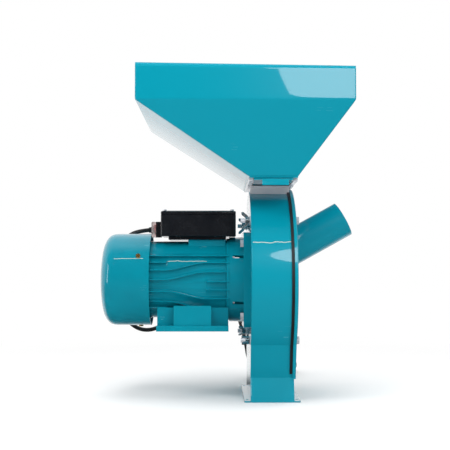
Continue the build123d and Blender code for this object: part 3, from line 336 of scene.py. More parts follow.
def painted_highlight_effect():
    """A thin painted highlight line on the near side, as a mask.

    It is 1 between two X values, where Z is within half a width of a height that wanders with a
    slow noise along X.
    """
    group, start, end = effect(
        "painted_highlight_line",
        [
            ("Height", "NodeSocketFloat", 0.28),
            ("Low X", "NodeSocketFloat", -0.03),
            ("High X", "NodeSocketFloat", 0.03),
            ("Half width", "NodeSocketFloat", 0.0006),
            ("Wander", "NodeSocketFloat", 0.006),
        ],
        [("Mask", "NodeSocketFloat")],
    )

    def math(operation, *values):
        sockets = {f"_{i}": v for i, v in enumerate(values)}
        return add(group, "ShaderNodeMath", {"operation": operation}, **sockets).outputs[0]

    place = add(group, "ShaderNodeTexCoord").outputs["Object"]
    split = add(group, "ShaderNodeSeparateXYZ", Vector=place)
    slow = add(
        group, "ShaderNodeTexNoise", {"noise_dimensions": "1D"}, W=split.outputs["X"], Scale=55.0
    )
    sway = math("MULTIPLY", math("SUBTRACT", slow.outputs[0], 0.5), start.outputs["Wander"])
    level = math("SUBTRACT", split.outputs["Z"], sway)
    off = math("ABSOLUTE", math("SUBTRACT", level, start.outputs["Height"]))
    mask = math("LESS_THAN", off, start.outputs["Half width"])
    mask = math("MULTIPLY", mask, math("GREATER_THAN", split.outputs["X"], start.outputs["Low X"]))
    mask = math("MULTIPLY", mask, math("LESS_THAN", split.outputs["X"], start.outputs["High X"]))
    mask = math("MULTIPLY", mask, math("LESS_THAN", split.outputs["Y"], painted_highlight_side_y))
    group.links.new(mask, end.inputs["Mask"])
    return group


painted_highlight_line = painted_highlight_effect()


def with_painted_highlight(material, name, height, low_x, high_x, half_width=0.0006, wander=0.006):
    """A copy of a painted finish with one painted highlight line in it."""
    made = material.copy()
    made.name = name
    tree = made.node_tree
    colour = tree.nodes["Principled BSDF"].inputs["Base Color"]
    mark = add(
        tree,
        "ShaderNodeGroup",
        {"node_tree": painted_highlight_line},
        Height=height,
        Low_X=low_x,
        High_X=high_x,
        Half_width=half_width,
        Wander=wander,
    )
    shown = add(
        tree,
        "ShaderNodeMix",
        {"data_type": "RGBA"},
        _0=mark.outputs["Mask"],
        _6=colour.links[0].from_socket,
        _7=painted_highlight_colour,
    )
    tree.links.new(shown.outputs[2], colour)
    return made


clouds = cloud_effect()
grain = grain_effect()
scuffs = scuff_effect()


def finish_material(
    name,
    light,
    dark,
    rough=(0.2, 0.3),
    cloud_scale=12.0,
    grain_scale=900.0,
    grain_height=0.02,
    grain_strength=0.2,
    scuff=None,
    scuff_cover=0.62,
    wave_scale=None,
    wave_height=0.1,
    **constants,
):
    """A finish: two shades mixed by slow clouds, thin scuffs in a third, and a fine grain as bump."""
    material = bpy.data.materials.new(name)
    material.use_nodes = True
    tree = material.node_tree
    shader = tree.nodes["Principled BSDF"]
    cloud = add(
        tree,
        "ShaderNodeGroup",
        {"node_tree": clouds},
        Scale=cloud_scale,
        Rough_low=rough[0],
        Rough_high=rough[1],
    )
    shade = add(
        tree,
        "ShaderNodeMix",
        {"data_type": "RGBA"},
        _0=cloud.outputs["Mask"],
        _6=(*light, 1),
        _7=(*dark, 1),
    )
    colour = shade.outputs[2]
    if scuff is not None:
        marks = add(tree, "ShaderNodeGroup", {"node_tree": scuffs}, Cover=scuff_cover)
        worn = add(
            tree,
            "ShaderNodeMix",
            {"data_type": "RGBA"},
            _0=marks.outputs["Mask"],
            _6=colour,
            _7=(*scuff, 1),
        )
        colour = worn.outputs[2]
    relief = add(tree, "ShaderNodeGroup", {"node_tree": grain}, Scale=grain_scale)
    bump = add(
        tree,
        "ShaderNodeBump",
        Height=relief.outputs["Height"],
        Strength=grain_strength,
        Distance=grain_height * mm,
    )
    if wave_scale:
        swell = add(tree, "ShaderNodeGroup", {"node_tree": grain}, Scale=wave_scale, Detail=1.0)
        bump = add(
            tree,
            "ShaderNodeBump",
            Height=swell.outputs["Height"],
            Strength=1.0,
            Distance=wave_height * mm,
            Normal=bump.outputs[0],
        )
    tree.links.new(colour, shader.inputs["Base Color"])
    tree.links.new(cloud.outputs["Roughness"], shader.inputs["Roughness"])
    tree.links.new(bump.outputs[0], shader.inputs["Normal"])
    for label, value in constants.items():
        shader.inputs[label.replace("_", " ")].default_value = value
    return material


def wear(material, *names):
    """Gives CAD nodes, which keep their own meshes, this finish."""
    for name in names:
        mesh = nodes[name].data
        mesh.materials.clear()
        mesh.materials.append(material)


def eased(name, width, material, body="mill", segments=2, dissolve=0.6, sharp=28.0):
    """Stands for a CAD node with its corners eased.

    A copy of its mesh, merged and cleared of flat seams, with a round bevel of the width in
    millimetres on every edge sharper than the angle.
    """
    mesh = nodes[name].data.copy()
    mesh.name = name + "_eased"
    work = bmesh.new()
    work.from_mesh(mesh)
    bmesh.ops.remove_doubles(work, verts=work.verts, dist=0.004 * mm)
    bmesh.ops.dissolve_limit(
        work, angle_limit=np.radians(dissolve), verts=work.verts, edges=work.edges
    )
    work.to_mesh(mesh)
    work.free()
    mesh.shade_smooth()
    mesh.set_sharp_from_angle(angle=np.radians(sharp))
    mesh.materials.clear()
    mesh.materials.append(material)
    made = bpy.data.objects.new(name + "_eased", mesh)
    scene.collection.objects.link(made)
    bevel = made.modifiers.new("ease", "BEVEL")
    bevel.width, bevel.segments = width * mm, segments
    bevel.limit_method, bevel.angle_limit = "ANGLE", np.radians(sharp)
    bevel.use_clamp_overlap = True
    bevel.harden_normals = True
    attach(made, body)
    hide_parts(name)
    return made


sheet_paint = finish_material(
    "teal_powder_coat",
    teal,
    teal_patches,
    rough=(0.30, 0.38),
    cloud_scale=3.0,
    grain_scale=420.0,
    grain_height=0.01,
    grain_strength=0.25,
    scuff=(0.10, 0.45, 0.55),
    scuff_cover=0.68,
    wave_scale=14.0,
    wave_height=0.30,
    Specular_IOR_Level=0.15,
    Coat_Weight=1.0,
    Coat_Roughness=0.03,
)
wear(
    sheet_paint,
    "housing_back_plate",
    "front_apron",
    "base_lips",
    "front_cover",
    "cob_inlet_tube",
    "hopper",
    "hopper_bottom_plate",
    "slide_gate",
)
# The drum's shell gets a painted highlight: a thin pale line along its near side.
wear(with_painted_highlight(sheet_paint, "sheet_with_painted_highlight", 0.2800, -0.036, 0.0335), "housing_shell")

eased("base_lips", 0.5, sheet_paint)
eased("housing_back_plate", 0.5, sheet_paint)
eased("hopper_bottom_plate", 0.5, sheet_paint)
eased("slide_gate", 0.5, sheet_paint, body="gate")
eased("cob_inlet_tube", 0.6, sheet_paint, body="cover")


# --- hopper ----------------------------------------------------------------------------------
# A bin of 1.5 mm sheet, folded at the foot of its upright band and welded at its corners.
# It leans out over the motor, and its mouth is cut slightly out of level.

hopper_wall = 1.5
hopper_corner = 2.6
hopper_fold_drop = 0.5  # how far the fold is drawn in, and what part of that its Y sides take
hopper_fold_side = 0.4
cone_fold_share, band_fold_share = 0.06, 0.07  # of the cone's and of the band's height
hopper_foot = (-42.0, 42.0, 158.0, 393.0)  # low X, high X, half of Y, Z
hopper_fold = (-237.0, 138.5, 189.0, 521.0)
hopper_mouth_z = (584.0, 578.5)  # at the low X and the high X side


def piece_from(name, points, faces, material, smooth=40.0):
    """A mesh object at the origin from points in millimetres and faces.

    It is smooth but for edges sharper than the angle in degrees.
    """
    mesh = bpy.data.meshes.new(name)
    mesh.from_pydata((np.asarray(points) * mm).tolist(), [], faces)
    mesh.validate()
    mesh.shade_smooth()
    mesh.set_sharp_from_angle(angle=np.radians(smooth))
    mesh.materials.append(material)
    made = bpy.data.objects.new(name, mesh)
    scene.collection.objects.link(made)
    return made


def grid_faces(rows, columns, offset=0):
    """The quads of a grid of rows x columns points, its columns joined round.

    They face outwards when the rows go up and the columns go counter-clockwise.
    """
    row = np.arange(rows - 1)[:, None]
    column = np.arange(columns)[None, :]
    after = (column + 1) % columns
    low, high = row * columns, (row + 1) * columns
    quads = np.stack([low + column, low + after, high + after, high + column], axis=-1)
    return (quads.reshape(-1, 4) + offset).tolist()


def capped_faces(rows, columns):
    """The quads of a grid, and a flat face over its first row and over its last."""
    last = (rows - 1) * columns
    ends = [list(range(columns))[::-1], list(range(last, last + columns))]
    return grid_faces(rows, columns) + ends


def rounded_outline(low_x, high_x, low_y, high_y, radius, steps=6):
    """A rectangle with round corners, counter-clockwise.

    Each corner is a quarter circle of the radius about a centre set in by it.
    """
    corners = [(high_x, high_y, 0), (low_x, high_y, 1), (low_x, low_y, 2), (high_x, low_y, 3)]
    rows = []
    for x, y, quarter in corners:
        turn = np.pi / 2 * (quarter + np.linspace(0, 1, steps))
        centre_x = x - radius * (1 if quarter in (0, 3) else -1)
        centre_y = y - radius * (1 if quarter in (0, 1) else -1)
        rows.append(np.c_[centre_x + radius * np.cos(turn), centre_y + radius * np.sin(turn)])
    return np.concatenate(rows)


def hopper_points():
    """Outlines stacked up the hopper.

    Along the cone their sides go in a straight line from the foot to the fold, then up the band to
    the tilted mouth. On both sides of the fold they are drawn in by a square law, which rounds it.
    """

    def outline_at(low_x, high_x, half_y, drop):
        across = half_y - drop * hopper_fold_side
        return rounded_outline(low_x + drop, high_x - drop, -across, across, hopper_corner)

    share = np.concatenate([[0, 0.02], np.linspace(0.1, 0.9, 9), 1 - np.linspace(0.06, 0, 7)])
    rows = []
    for s in share:
        low_x, high_x, half_y, z = (a + (b - a) * s for a, b in zip(hopper_foot, hopper_fold))
        ease = max(0.0, (s - (1 - cone_fold_share)) / cone_fold_share)
        outline = outline_at(low_x, high_x, half_y, hopper_fold_drop * ease**2)
        rows.append(np.c_[outline, np.full(len(outline), z)])
    low_x, high_x, half_y, z = hopper_fold
    for s in np.concatenate([[0.03, 0.07], np.linspace(0.15, 1, 8)]):
        ease = max(0.0, 1 - s / band_fold_share)
        outline = outline_at(low_x, high_x, half_y, hopper_fold_drop * ease**2)
        lean = (outline[:, 0] - low_x) / (high_x - low_x)
        top = hopper_mouth_z[0] + (hopper_mouth_z[1] - hopper_mouth_z[0]) * lean
        rows.append(np.c_[outline, z + (top - z) * s])
    return np.stack(rows)


grid = hopper_points()
hopper = piece_from(
    "folded_hopper",
    grid.reshape(-1, 3),
    grid_faces(*grid.shape[:2]),
    sheet_paint,
    smooth=30,
)
wall = hopper.modifiers.new("wall", "SOLIDIFY")
wall.thickness, wall.offset, wall.use_even_offset = hopper_wall * mm, -1, True
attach(hopper, "mill")
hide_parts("hopper")


# --- zinc plated throat, rails and fasteners -----------------------------------------------
# The neck under the gate is zinc plated sheet, as are the rails the gate slides in. The screws,
# bolts and washers are plated too. The cast wing nuts are zinc with dark teal painted in at random: a
# painted reflection of the teal housing.

zinc = finish_material(
    "bright_zinc",
    (0.84, 0.84, 0.88),
    (0.70, 0.71, 0.76),
    rough=(0.18, 0.30),
    cloud_scale=22.0,
    grain_scale=1500.0,
    grain_height=0.02,
    Metallic=0.30,
)
# Zinc mixed at random with a dark teal: a painted reflection of the teal housing on the wing nuts.
zinc_with_painted_teal_reflection = finish_material(
    "zinc_with_painted_teal_reflection",
    (0.66, 0.70, 0.74),
    (0.16, 0.34, 0.40),
    rough=(0.12, 0.28),
    cloud_scale=160.0,
    grain_scale=1500.0,
    grain_height=0.02,
    Metallic=0.9,
)
wear(
    zinc,
    "throat",
    "gate_rails",
    "wing_nut_washers",
    "cover_bolts",
    "flange_bolts",
    "shield_bolts",
    "hopper_screws",
    "lid_screws",
    "shaft_end_bolt",
)
wear(zinc_with_painted_teal_reflection, "wing_nut_1", "wing_nut_2", "wing_nut_3", "wing_nut_4")
eased("throat", 0.6, zinc)


# --- rotor, hammers and sieve --------------------------------------------------------------------
# Bare steel: discs and hub turned, hammers and sieve cut and punched from sheet, shaft and races
# ground. It is unpainted, so it is clean but uneven in shine.

steel = finish_material(
    "bare_steel",
    (0.50, 0.49, 0.47),
    (0.30, 0.29, 0.28),
    rough=(0.28, 0.5),
    cloud_scale=45.0,
    grain_scale=1200.0,
    Metallic=1.0,
)
wear(
    steel,
    "sieve_screen",
    "sieve_ring",
    "rotor_hub",
    "rotor_discs",
    "hammer_pins",
    "hammer_spacers",
    "hammer_set_1",
    "hammer_set_2",
    "hammer_set_3",
    "hammer_set_4",
    "rotor_shaft",
    "bearing_inner_races",
    "bearing_outer_races",
)


# --- seals -----------------------------------------------------------------------------------
# Moulded black rubber: a cord round the drum's mouth under the cover, and a ring on the shaft.

rubber = finish_material(
    "black_rubber",
    (0.010, 0.012, 0.014),
    (0.018, 0.020, 0.022),
    rough=(0.45, 0.65),
    cloud_scale=70.0,
)
wear(rubber, "cover_seal", "shaft_seal")


# --- motor feet and end shields ------------------------------------------------------------------
# Aluminium castings with soft corners, sprayed in the drum's teal over a sand-cast skin.

cast = finish_material(
    "teal_cast_enamel",
    (0.0005, 0.275, 0.370),
    (0.0003, 0.235, 0.320),
    rough=(0.30, 0.42),
    cloud_scale=18.0,
    grain_scale=520.0,
    grain_height=0.05,
    grain_strength=0.4,
    scuff=(0.12, 0.42, 0.50),
    scuff_cover=0.66,
    wave_scale=60.0,
    wave_height=0.12,
    Specular_IOR_Level=0.1,
    Coat_Weight=1.0,
    Coat_Roughness=0.05,
)
wear(cast, "motor_frame", "motor_feet", "front_end_shield", "rear_end_shield", "fan_cover")
eased("motor_feet", 2.2, cast, segments=3)
eased("front_end_shield", 1.4, cast)


# --- fan cover -------------------------------------------------------------------------------
# Pressed from 1.5 mm sheet over the fan: a domed end with a ring grille of round holes, and a
# straight skirt that three brass screws hold to lugs on the rear end shield.

shaft_z = 214.0
cover_wall = 1.5
# X and radius from the grille out and along the skirt
cover_bends = [
    (-312, 0.1),
    (-312, 20),
    (-311.6, 37),
    (-309.6, 55),
    (-306, 69),
    (-301, 77.5),
    (-295.5, 82.4),
    (-288.5, 84.9),
    (-281, 85.5),
]
cover_radius = 85.5
cover_skirt_end = -220.0
grille_rings = ((12.0, 6), (21.0, 10), (30.0, 15))
grille_hole = 3.2


def smooth_path(knots, steps):
    """A Catmull-Rom curve through the knots.

    Each span is the cubic whose end slopes are half the way between its neighbours.
    """
    knots = np.asarray(knots, float)
    padded = np.concatenate([[2 * knots[0] - knots[1]], knots, [2 * knots[-1] - knots[-2]]])
    t = np.linspace(0, 1, steps, endpoint=False)[:, None]
    spans = [
        0.5
        * (
            2 * b
            + (c - a) * t
            + (2 * a - 5 * b + 4 * c - d) * t**2
            + (3 * b - a - 3 * c + d) * t**3
        )
        for a, b, c, d in zip(padded, padded[1:], padded[2:], padded[3:])
    ]
    return np.concatenate([*spans, knots[-1:]])


def turned_points(profile, steps, centre=(0.0, shaft_z)):
    """The profile's (x, radius) points carried round an axis along X through centre (y, z).

    y and z are the radius times the sine and cosine of the turn.
    """
    turn = np.linspace(0, 2 * np.pi, steps, endpoint=False)
    x = np.repeat(profile[:, :1], steps, axis=1)
    y = centre[0] + profile[:, 1:] * np.sin(turn)
    z = centre[1] + profile[:, 1:] * np.cos(turn)
    return np.stack([x, y, z], axis=-1)


def flipped(faces):
    """The same faces wound the other way."""
    return [face[::-1] for face in faces]


skirt = np.array([(x, cover_radius) for x in np.linspace(-270, cover_skirt_end, 6)])
outer = np.concatenate([smooth_path(cover_bends, 4), skirt])
grid = turned_points(outer, 128)
# The skirt gets a painted highlight: a thin pale line along its near side.
fan_cover = piece_from(
    "fan_cover_shell",
    grid.reshape(-1, 3),
    flipped(grid_faces(*grid.shape[:2])) + [list(range(grid.shape[1]))],
    with_painted_highlight(cast, "fan_cover_with_painted_highlight", 0.2525, -0.283, -0.231, 0.0004, 0.002),
    smooth=35,
)
wall = fan_cover.modifiers.new("wall", "SOLIDIFY")
wall.thickness, wall.offset = cover_wall * mm, -1

drill_points, drill_faces = [], []
drill = turned_points(np.array([(-320.0, grille_hole), (-300.0, grille_hole)]), 16, (0, 0))
for ring, count in grille_rings:
    for k in range(count):
        spin = 2 * np.pi * k / count
        offset = np.array([0, ring * np.cos(spin), shaft_z + ring * np.sin(spin)])
        start = 32 * len(drill_points)
        drill_points.append(drill.reshape(-1, 3) + offset)
        drill_faces += flipped(grid_faces(2, 16, offset=start))
        drill_faces += [[start + i for i in range(16)], [start + 16 + i for i in reversed(range(16))]]
drills = piece_from("grille_drills", np.concatenate(drill_points), drill_faces, cast)
cut = fan_cover.modifiers.new("grille", "BOOLEAN")
cut.operation, cut.object, cut.solver = "DIFFERENCE", drills, "EXACT"
bpy.context.view_layer.update()
final = bpy.data.meshes.new_from_object(
    fan_cover.evaluated_get(bpy.context.evaluated_depsgraph_get())
)
fan_cover.modifiers.clear()
fan_cover.data = final
final.shade_smooth()
final.set_sharp_from_angle(angle=np.radians(35))
bpy.data.objects.remove(drills)
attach(fan_cover, "mill")
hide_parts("fan_cover")


# --- motor frame -----------------------------------------------------------------------------
# An aluminium casting round the stator. Its cooling ribs sweep up or down between their two
# ends, with short ones between them, and stand level, so that the two half moulds can part.

frame_ends = (-220.0, -75.0)
frame_base, frame_bore, rib_reach = 71.4, 62.0, 79.5
rim_reach, rim_start = 77.0, -80.0
rib_half, rib_root = 1.25, 1.7
# a rib's height across its width, from one root over the tip to the other
rib_rise = np.array([0, 0.06, 0.35, 0.9, 0.985, 1.0, 0.985, 0.9, 0.35, 0.06, 0])
wave = (-193.0, -116.0)
# height over the axis at the left and right end, and where a short rib starts or stops
ribs = [
    (-50.0, -61.5, None, -187.0),
    (-38.5, -52.0, None, None),
    (-20.5, -34.0, None, None),
    (-13.6, -18.0, -118.0, None),
    (-6.4, -3.0, -118.0, None),
    (1.0, 14.5, None, None),
    (18.0, 31.5, None, None),
    (32.0, 38.4, None, -187.0),
    (44.0, 44.0, None, None),
]


def frame_section(x):
    """Half of the section at x, from straight below the axis up one side to straight above it.

    It is the base circle, and on it each rib as a level fin with round roots and a round tip. A
    short rib sinks to the circle at its open end.
    """
    sweep = np.clip((x - wave[0]) / (wave[1] - wave[0]), 0, 1)
    sweep = sweep * sweep * (3 - 2 * sweep)
    base = frame_base + (rim_reach - frame_base) * np.clip((x - rim_start + 1.5) / 1.5, 0, 1)
    depths, heights = [], []
    for left, right, start, stop in ribs:
        middle = left + (right - left) * sweep
        out = 1.0
        if start is not None:
            out = np.clip((x - start) / 3.0, 0, 1)
        if stop is not None:
            out = np.clip((stop - x) / 3.0, 0, 1)
        out = out * out * (3 - 2 * out)
        root = rib_half + rib_root * out
        rise = rib_rise * out
        across = np.array(
            [-root, -rib_half - 0.35 * rib_root, -rib_half, -rib_half, -0.6 * rib_half, 0]
        )
        across = np.concatenate([across, -across[-2::-1]])
        height = middle + across
        low = np.sqrt(base**2 - height**2)
        high = np.sqrt(rib_reach**2 - height**2)
        depths.append(low + (high - low) * rise)
        heights.append(height)
    depths, heights = np.concatenate(depths), np.concatenate(heights)
    for end in (-1, 1):
        last = np.arcsin(heights[0 if end < 0 else -1] / base)
        arc = np.linspace(end * np.pi / 2, last, 14)[:-1]
        extra = base * np.cos(arc), base * np.sin(arc)
        if end < 0:
            depths, heights = np.r_[extra[0], depths], np.r_[extra[1], heights]
        else:
            depths, heights = np.r_[depths, extra[0][::-1]], np.r_[heights, extra[1][::-1]]
    return np.c_[depths, heights]


def ring_of(x, half):
    """The whole ring at x: the half section on the far side, then mirrored down the near side."""
    y = np.r_[half[:, 0], -half[-2:0:-1, 0]]
    z = np.r_[half[:, 1], half[-2:0:-1, 1]]
    return np.c_[np.full(len(y), x), y, z + shaft_z]


def bored(ring, radius):
    """The ring pulled straight in to a circle about the shaft axis."""
    y, z = ring[:, 1], ring[:, 2] - shaft_z
    pull = radius / np.hypot(y, z)
    return np.c_[ring[:, 0], y * pull, z * pull + shaft_z]


stations = np.unique(
    np.concatenate(
        [
            np.linspace(*frame_ends, 49),
            np.linspace(-190.5, -186.5, 7),
            np.linspace(-118.5, -114.5, 7),
            [rim_start - 1.6, rim_start - 1.2, rim_start - 0.8, rim_start - 0.4, rim_start],
        ]
    )
)
rings = [ring_of(x, frame_section(x)) for x in stations]
rings = np.stack([bored(rings[0], frame_bore), *rings, bored(rings[-1], frame_bore)])
rings = np.concatenate([rings, rings[:1]])
rows, columns = rings.shape[:2]
frame_faces = np.array(grid_faces(rows, columns)) % ((rows - 1) * columns)
frame_points = rings[:-1].reshape(-1, 3)


def stacked_outlines(low, high, corner, levels, least=0.05):
    """Round cornered rectangles stacked upwards: one for each (inset, z) of the levels."""
    rows = [
        np.c_[
            rounded_outline(low[0] + i, high[0] - i, low[1] + i, high[1] - i, max(corner - i, least)),
            np.full(24, z),
        ]
        for i, z in levels
    ]
    return np.stack(rows)


def eased_prism(low, high, corner, edge, steps=5):
    """A block with round corners in plan, and its top edge rounded on a quarter circle.

    Outlines stacked upwards, each set in by the edge's curve, closed by a flat face at each end.
    """
    turn = np.linspace(0, np.pi / 2, steps)
    levels = [(0.0, low[2])]
    levels += [(edge * (1 - np.cos(t)), high[2] - edge * (1 - np.sin(t))) for t in turn]
    points = stacked_outlines(low, high, corner, levels)
    return points.reshape(-1, 3), capped_faces(*points.shape[:2])


def joined(*parts):
    """Several (points, faces) pairs as one."""
    points, faces, start = [], [], 0
    for some_points, some_faces in parts:
        points.append(some_points)
        faces += [[i + start for i in face] for face in some_faces]
        start += len(some_points)
    return np.concatenate(points), faces


terminal_pad = eased_prism((-151, -35, 270), (-81, 35, 287.5), 3, 0.8)
# The ribs get a painted highlight: a thin pale line along the near side of the frame.
frame_casting = piece_from(
    "motor_frame_casting",
    *joined((frame_points, frame_faces.tolist()), terminal_pad),
    with_painted_highlight(cast, "frame_with_painted_highlight", 0.2478, -0.187, -0.116, 0.0005, 0.004),
    smooth=50,
)
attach(frame_casting, "mill")
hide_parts("motor_frame")


# --- terminal box --------------------------------------------------------------------------------
# A moulded black box on the frame's pad, glossy, with a slightly domed lid that is held by a screw
# at each corner. The fan and the terminal block are of the same plastic.

plastic = finish_material(
    "black_plastic",
    (0.008, 0.009, 0.012),
    (0.014, 0.015, 0.018),
    rough=(0.12, 0.2),
    cloud_scale=40.0,
    grain_scale=700.0,
)
wear(plastic, "terminal_box_base", "terminal_box", "terminal_box_lid", "cooling_fan", "terminal_block")
eased("terminal_box", 0.8, plastic)
eased("terminal_box_base", 1.2, plastic)

lid_low, lid_high = (-201.0, -50.0, 333.3), (-63.0, 50.0, 343.0)
lid_side_top, lid_shoulder, lid_corner = 338.0, 2.4, 3.0
lid_crown, lid_crown_half = 2.9, 46.0
lid_levels = [
    (0.9, lid_low[2]),
    (0.25, lid_low[2] + 0.3),
    (0.0, lid_low[2] + 0.9),
    (0.0, lid_side_top),
]
lid_levels += [
    (lid_shoulder * (1 - np.cos(t)), lid_side_top + lid_shoulder * 0.8 * np.sin(t))
    for t in np.linspace(0.25, 1.35, 5)
]
lid_levels += [
    (inset, lid_high[2] - lid_crown * (1 - inset / lid_crown_half) ** 2.0)
    for inset in (4, 8, 14, 22, 32, 42, 46)
]
lid_rows = stacked_outlines(lid_low, lid_high, lid_corner, lid_levels, least=0.4)
lid_top = piece_from(
    "terminal_box_cover",
    lid_rows.reshape(-1, 3),
    capped_faces(*lid_rows.shape[:2]),
    plastic,
    smooth=50,
)
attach(lid_top, "mill")
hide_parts("terminal_box_lid")


# --- switch under its clear cover ----------------------------------------------------------------
# A red rocker in a black body on the end of the terminal box, under a soft clear cover with
# moulded ribs that keeps the dust out.

wear(plastic, "switch_body")
eased("switch_body", 0.7, plastic)
hood_clear = bpy.data.materials.new("clear_soft_cover")
hood_clear.use_nodes = True
tree = hood_clear.node_tree
shader = tree.nodes["Principled BSDF"]
haze = add(
    tree, "ShaderNodeGroup", {"node_tree": clouds}, Scale=90.0, Rough_low=0.10, Rough_high=0.28
)
tint = add(
    tree,
    "ShaderNodeMix",
    {"data_type": "RGBA"},
    _0=haze.outputs["Mask"],
    _6=(0.94, 0.88, 0.87, 1),
    _7=(0.86, 0.74, 0.73, 1),
)
tree.links.new(tint.outputs[2], shader.inputs["Base Color"])
tree.links.new(haze.outputs["Roughness"], shader.inputs["Roughness"])
shader.inputs["Transmission Weight"].default_value = 0.85
shader.inputs["IOR"].default_value = 1.45
wear(hood_clear, "switch_hood")
rocker_red = finish_material(
    "rocker_red",
    (0.62, 0.012, 0.010),
    (0.50, 0.010, 0.010),
    rough=(0.2, 0.3),
    cloud_scale=80.0,
)
wear(rocker_red, "switch_rocker")


# --- inside the motor -----------------------------------------------------------------------
# Varnished steel laminations with enamelled copper coils, a capacitor and a terminal block.

laminations = finish_material(
    "varnished_laminations",
    (0.20, 0.19, 0.18),
    (0.11, 0.105, 0.10),
    rough=(0.35, 0.5),
    cloud_scale=30.0,
    grain_scale=2000.0,
    Metallic=0.8,
)
wear(laminations, "stator_core", "rotor_core")
copper = finish_material(
    "enamelled_copper",
    (0.50, 0.16, 0.06),
    (0.33, 0.09, 0.03),
    rough=(0.25, 0.4),
    cloud_scale=120.0,
    grain_scale=1600.0,
    grain_height=0.2,
    Metallic=0.7,
)
wear(copper, "stator_windings")
brass = finish_material(
    "brass",
    (0.70, 0.47, 0.16),
    (0.52, 0.33, 0.10),
    rough=(0.18, 0.32),
    cloud_scale=200.0,
    Metallic=0.9,
)
wear(brass, "fan_cover_screws")
can = finish_material(
    "capacitor_can",
    (0.62, 0.63, 0.62),
    (0.50, 0.51, 0.50),
    rough=(0.3, 0.4),
    cloud_scale=60.0,
    Metallic=0.2,
)
wear(can, "run_capacitor")


# --- cable gland ---------------------------------------------------------------------------------
# A black rubber gland on the end wall of the terminal box: a six-sided nut, and a sleeve that
# tapers from it to the lead and is grooved so that it bends.

wear(rubber, "cable_gland")
gland_centre = (32.0, 308.0)
nut_profile = np.array([(-201.2, 9.0), (-202.0, 10.0), (-210.0, 10.0), (-211.0, 9.0)])
sleeve_start, sleeve_end = -211.0, -228.0
sleeve_wide, sleeve_narrow, sleeve_bore = 8.2, 5.5, 1.0
groove_pitch, groove_depth = 3.4, 0.7

# a straight taper, less a groove where the cosine of the way along is low
sleeve_x = np.linspace(sleeve_start, sleeve_end, 41)
sleeve_radius = np.interp(sleeve_x, (sleeve_end, sleeve_start), (sleeve_narrow, sleeve_wide))
sleeve_radius -= groove_depth * (np.cos(2 * np.pi * (sleeve_x - sleeve_start) / groove_pitch) < -0.3)
sleeve_profile = np.array(
    [
        (sleeve_start + 0.5, sleeve_bore),
        (sleeve_start + 0.5, sleeve_wide),
        *zip(sleeve_x, sleeve_radius),
        (sleeve_end, sleeve_bore),
    ]
)
sleeve_points = turned_points(sleeve_profile, 28, gland_centre)
nut_points = turned_points(nut_profile, 6, gland_centre)
gland_piece = piece_from(
    "gland_with_sleeve",
    *joined(
        (sleeve_points.reshape(-1, 3), capped_faces(*sleeve_points.shape[:2])),
        (nut_points.reshape(-1, 3), capped_faces(*nut_points.shape[:2])),
    ),
    rubber,
    smooth=35,
)
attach(gland_piece, "mill")
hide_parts("cable_gland")


# --- mains cord ------------------------------------------------------------------------------
# A round 8 mm rubber-sheathed lead, 1.8 m long. It drops from the gland behind the fan cover,
# lies over the far foot and winds up in a tied coil on the floor behind the drum.

cord_route = [
    (-0.228, 0.032, 0.308),
    (-0.247, 0.035, 0.306),
    (-0.266, 0.046, 0.300),
    (-0.282, 0.066, 0.286),
    (-0.292, 0.088, 0.262),
    (-0.297, 0.103, 0.228),
    (-0.297, 0.108, 0.190),
    (-0.290, 0.108, 0.152),
    (-0.272, 0.106, 0.124),
    (-0.246, 0.104, 0.110),
    (-0.216, 0.104, 0.114),
    (-0.190, 0.103, 0.136),
    (-0.166, 0.094, 0.165),
    (-0.141, 0.083, 0.177),
    (-0.112, 0.082, 0.177),
    (-0.088, 0.094, 0.167),
    (-0.068, 0.114, 0.152),
    (-0.053, 0.138, 0.134),
    (-0.045, 0.163, 0.108),
    (-0.038, 0.184, 0.080),
    (-0.033, 0.198, 0.050),
    (-0.026, 0.208, 0.026),
    (-0.013, 0.214, 0.012),
    (0.006, 0.2175, 0.004),
]
cord_radius = 0.004
coil_centre = (0.021, 0.262)
coil_turns = 4.25
points_a_turn = 16
plug_x, plug_z, boot_y = 0.061, 0.019, 0.289

# Radius and height by the number of turns: two on the floor, two on those, one in their groove.
coil_radius_at = [
    (0, 44), (0.8, 44), (1.0, 36), (2.4, 36), (2.6, 44), (3.25, 44), (3.42, 40), (4.25, 40)
]  # fmt: skip
coil_height_at = [
    (0, 4), (1.6, 4), (1.8, 12), (3.25, 12), (3.42, 20), (3.6, 20), (3.8, 19), (4.25, 19)
]  # fmt: skip

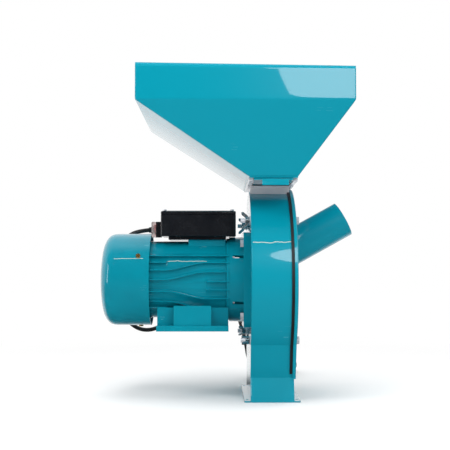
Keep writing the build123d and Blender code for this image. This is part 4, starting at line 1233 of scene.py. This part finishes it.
turn = np.arange(0, coil_turns, 1 / points_a_turn)
angle = 2 * np.pi * turn - np.pi / 2
reach = np.interp(turn, *np.array(coil_radius_at).T) * mm * 1.01
coil = np.stack(
    [
        coil_centre[0] + reach * np.cos(angle),
        coil_centre[1] + reach * np.sin(angle),
        np.interp(turn, *np.array(coil_height_at).T) * mm,
    ],
    axis=1,
)
tail = [(plug_x, y, plug_z) for y in (coil_centre[1] + 0.006, boot_y - 0.010, boot_y + 0.004)]
cord_points = np.concatenate([cord_route, coil[1:], tail])

cord_curve = bpy.data.curves.new("mains_lead", "CURVE")
cord_curve.dimensions = "3D"
cord_curve.bevel_depth = cord_radius
cord_curve.bevel_resolution = 6
cord_curve.resolution_u = 6
cord_curve.use_fill_caps = True
spline = cord_curve.splines.new("NURBS")
spline.points.add(len(cord_points) - 1)
spline.points.foreach_set("co", np.c_[cord_points, np.ones(len(cord_points))].ravel())
spline.order_u = 3
spline.use_endpoint_u = True
lead = bpy.data.objects.new("mains_lead", cord_curve)
scene.collection.objects.link(lead)
lead_sheath = finish_material(
    "lead_sheath",
    (0.012, 0.012, 0.013),
    (0.020, 0.020, 0.021),
    rough=(0.35, 0.5),
    cloud_scale=50.0,
)
cord_curve.materials.append(lead_sheath)
wear(lead_sheath, "mains_plug")

# The tie is a flat band round the turns at the back of the coil: a closed outline of radius and
# height, thickened towards its middle and carried straight across.
tie_outline = np.array(
    [
        (32.0, 0.0),
        (48.0, 0.0),
        (48.9, 1.0),
        (48.9, 12.5),
        (45.6, 20.4),
        (42.8, 23.6),
        (37.2, 23.6),
        (33.4, 19.8),
        (31.1, 12.5),
        (31.1, 1.0),
    ]
)
tie_middle, tie_thick, tie_half = np.array([40.0, 10.0]), 0.9, 2.6
inwards = tie_middle - tie_outline
tie_inside = tie_outline + inwards / np.linalg.norm(inwards, axis=1)[:, None] * tie_thick
tie_count = len(tie_outline)
centre_x, centre_y = (c / mm for c in coil_centre)
tie_edges = [
    (tie_outline, -tie_half),
    (tie_outline, tie_half),
    (tie_inside, tie_half),
    (tie_inside, -tie_half),
]
tie_loops = [
    np.c_[np.full(tie_count, centre_x + side), centre_y + loop[:, 0], loop[:, 1]]
    for loop, side in tie_edges
]
tie_faces = np.array(grid_faces(5, tie_count)) % (4 * tie_count)
tie = piece_from("coil_tie", np.concatenate(tie_loops), tie_faces.tolist(), rubber, smooth=50)
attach(tie, "mill")

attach(lead, "mill")
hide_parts("mains_cord", "cord_coil")
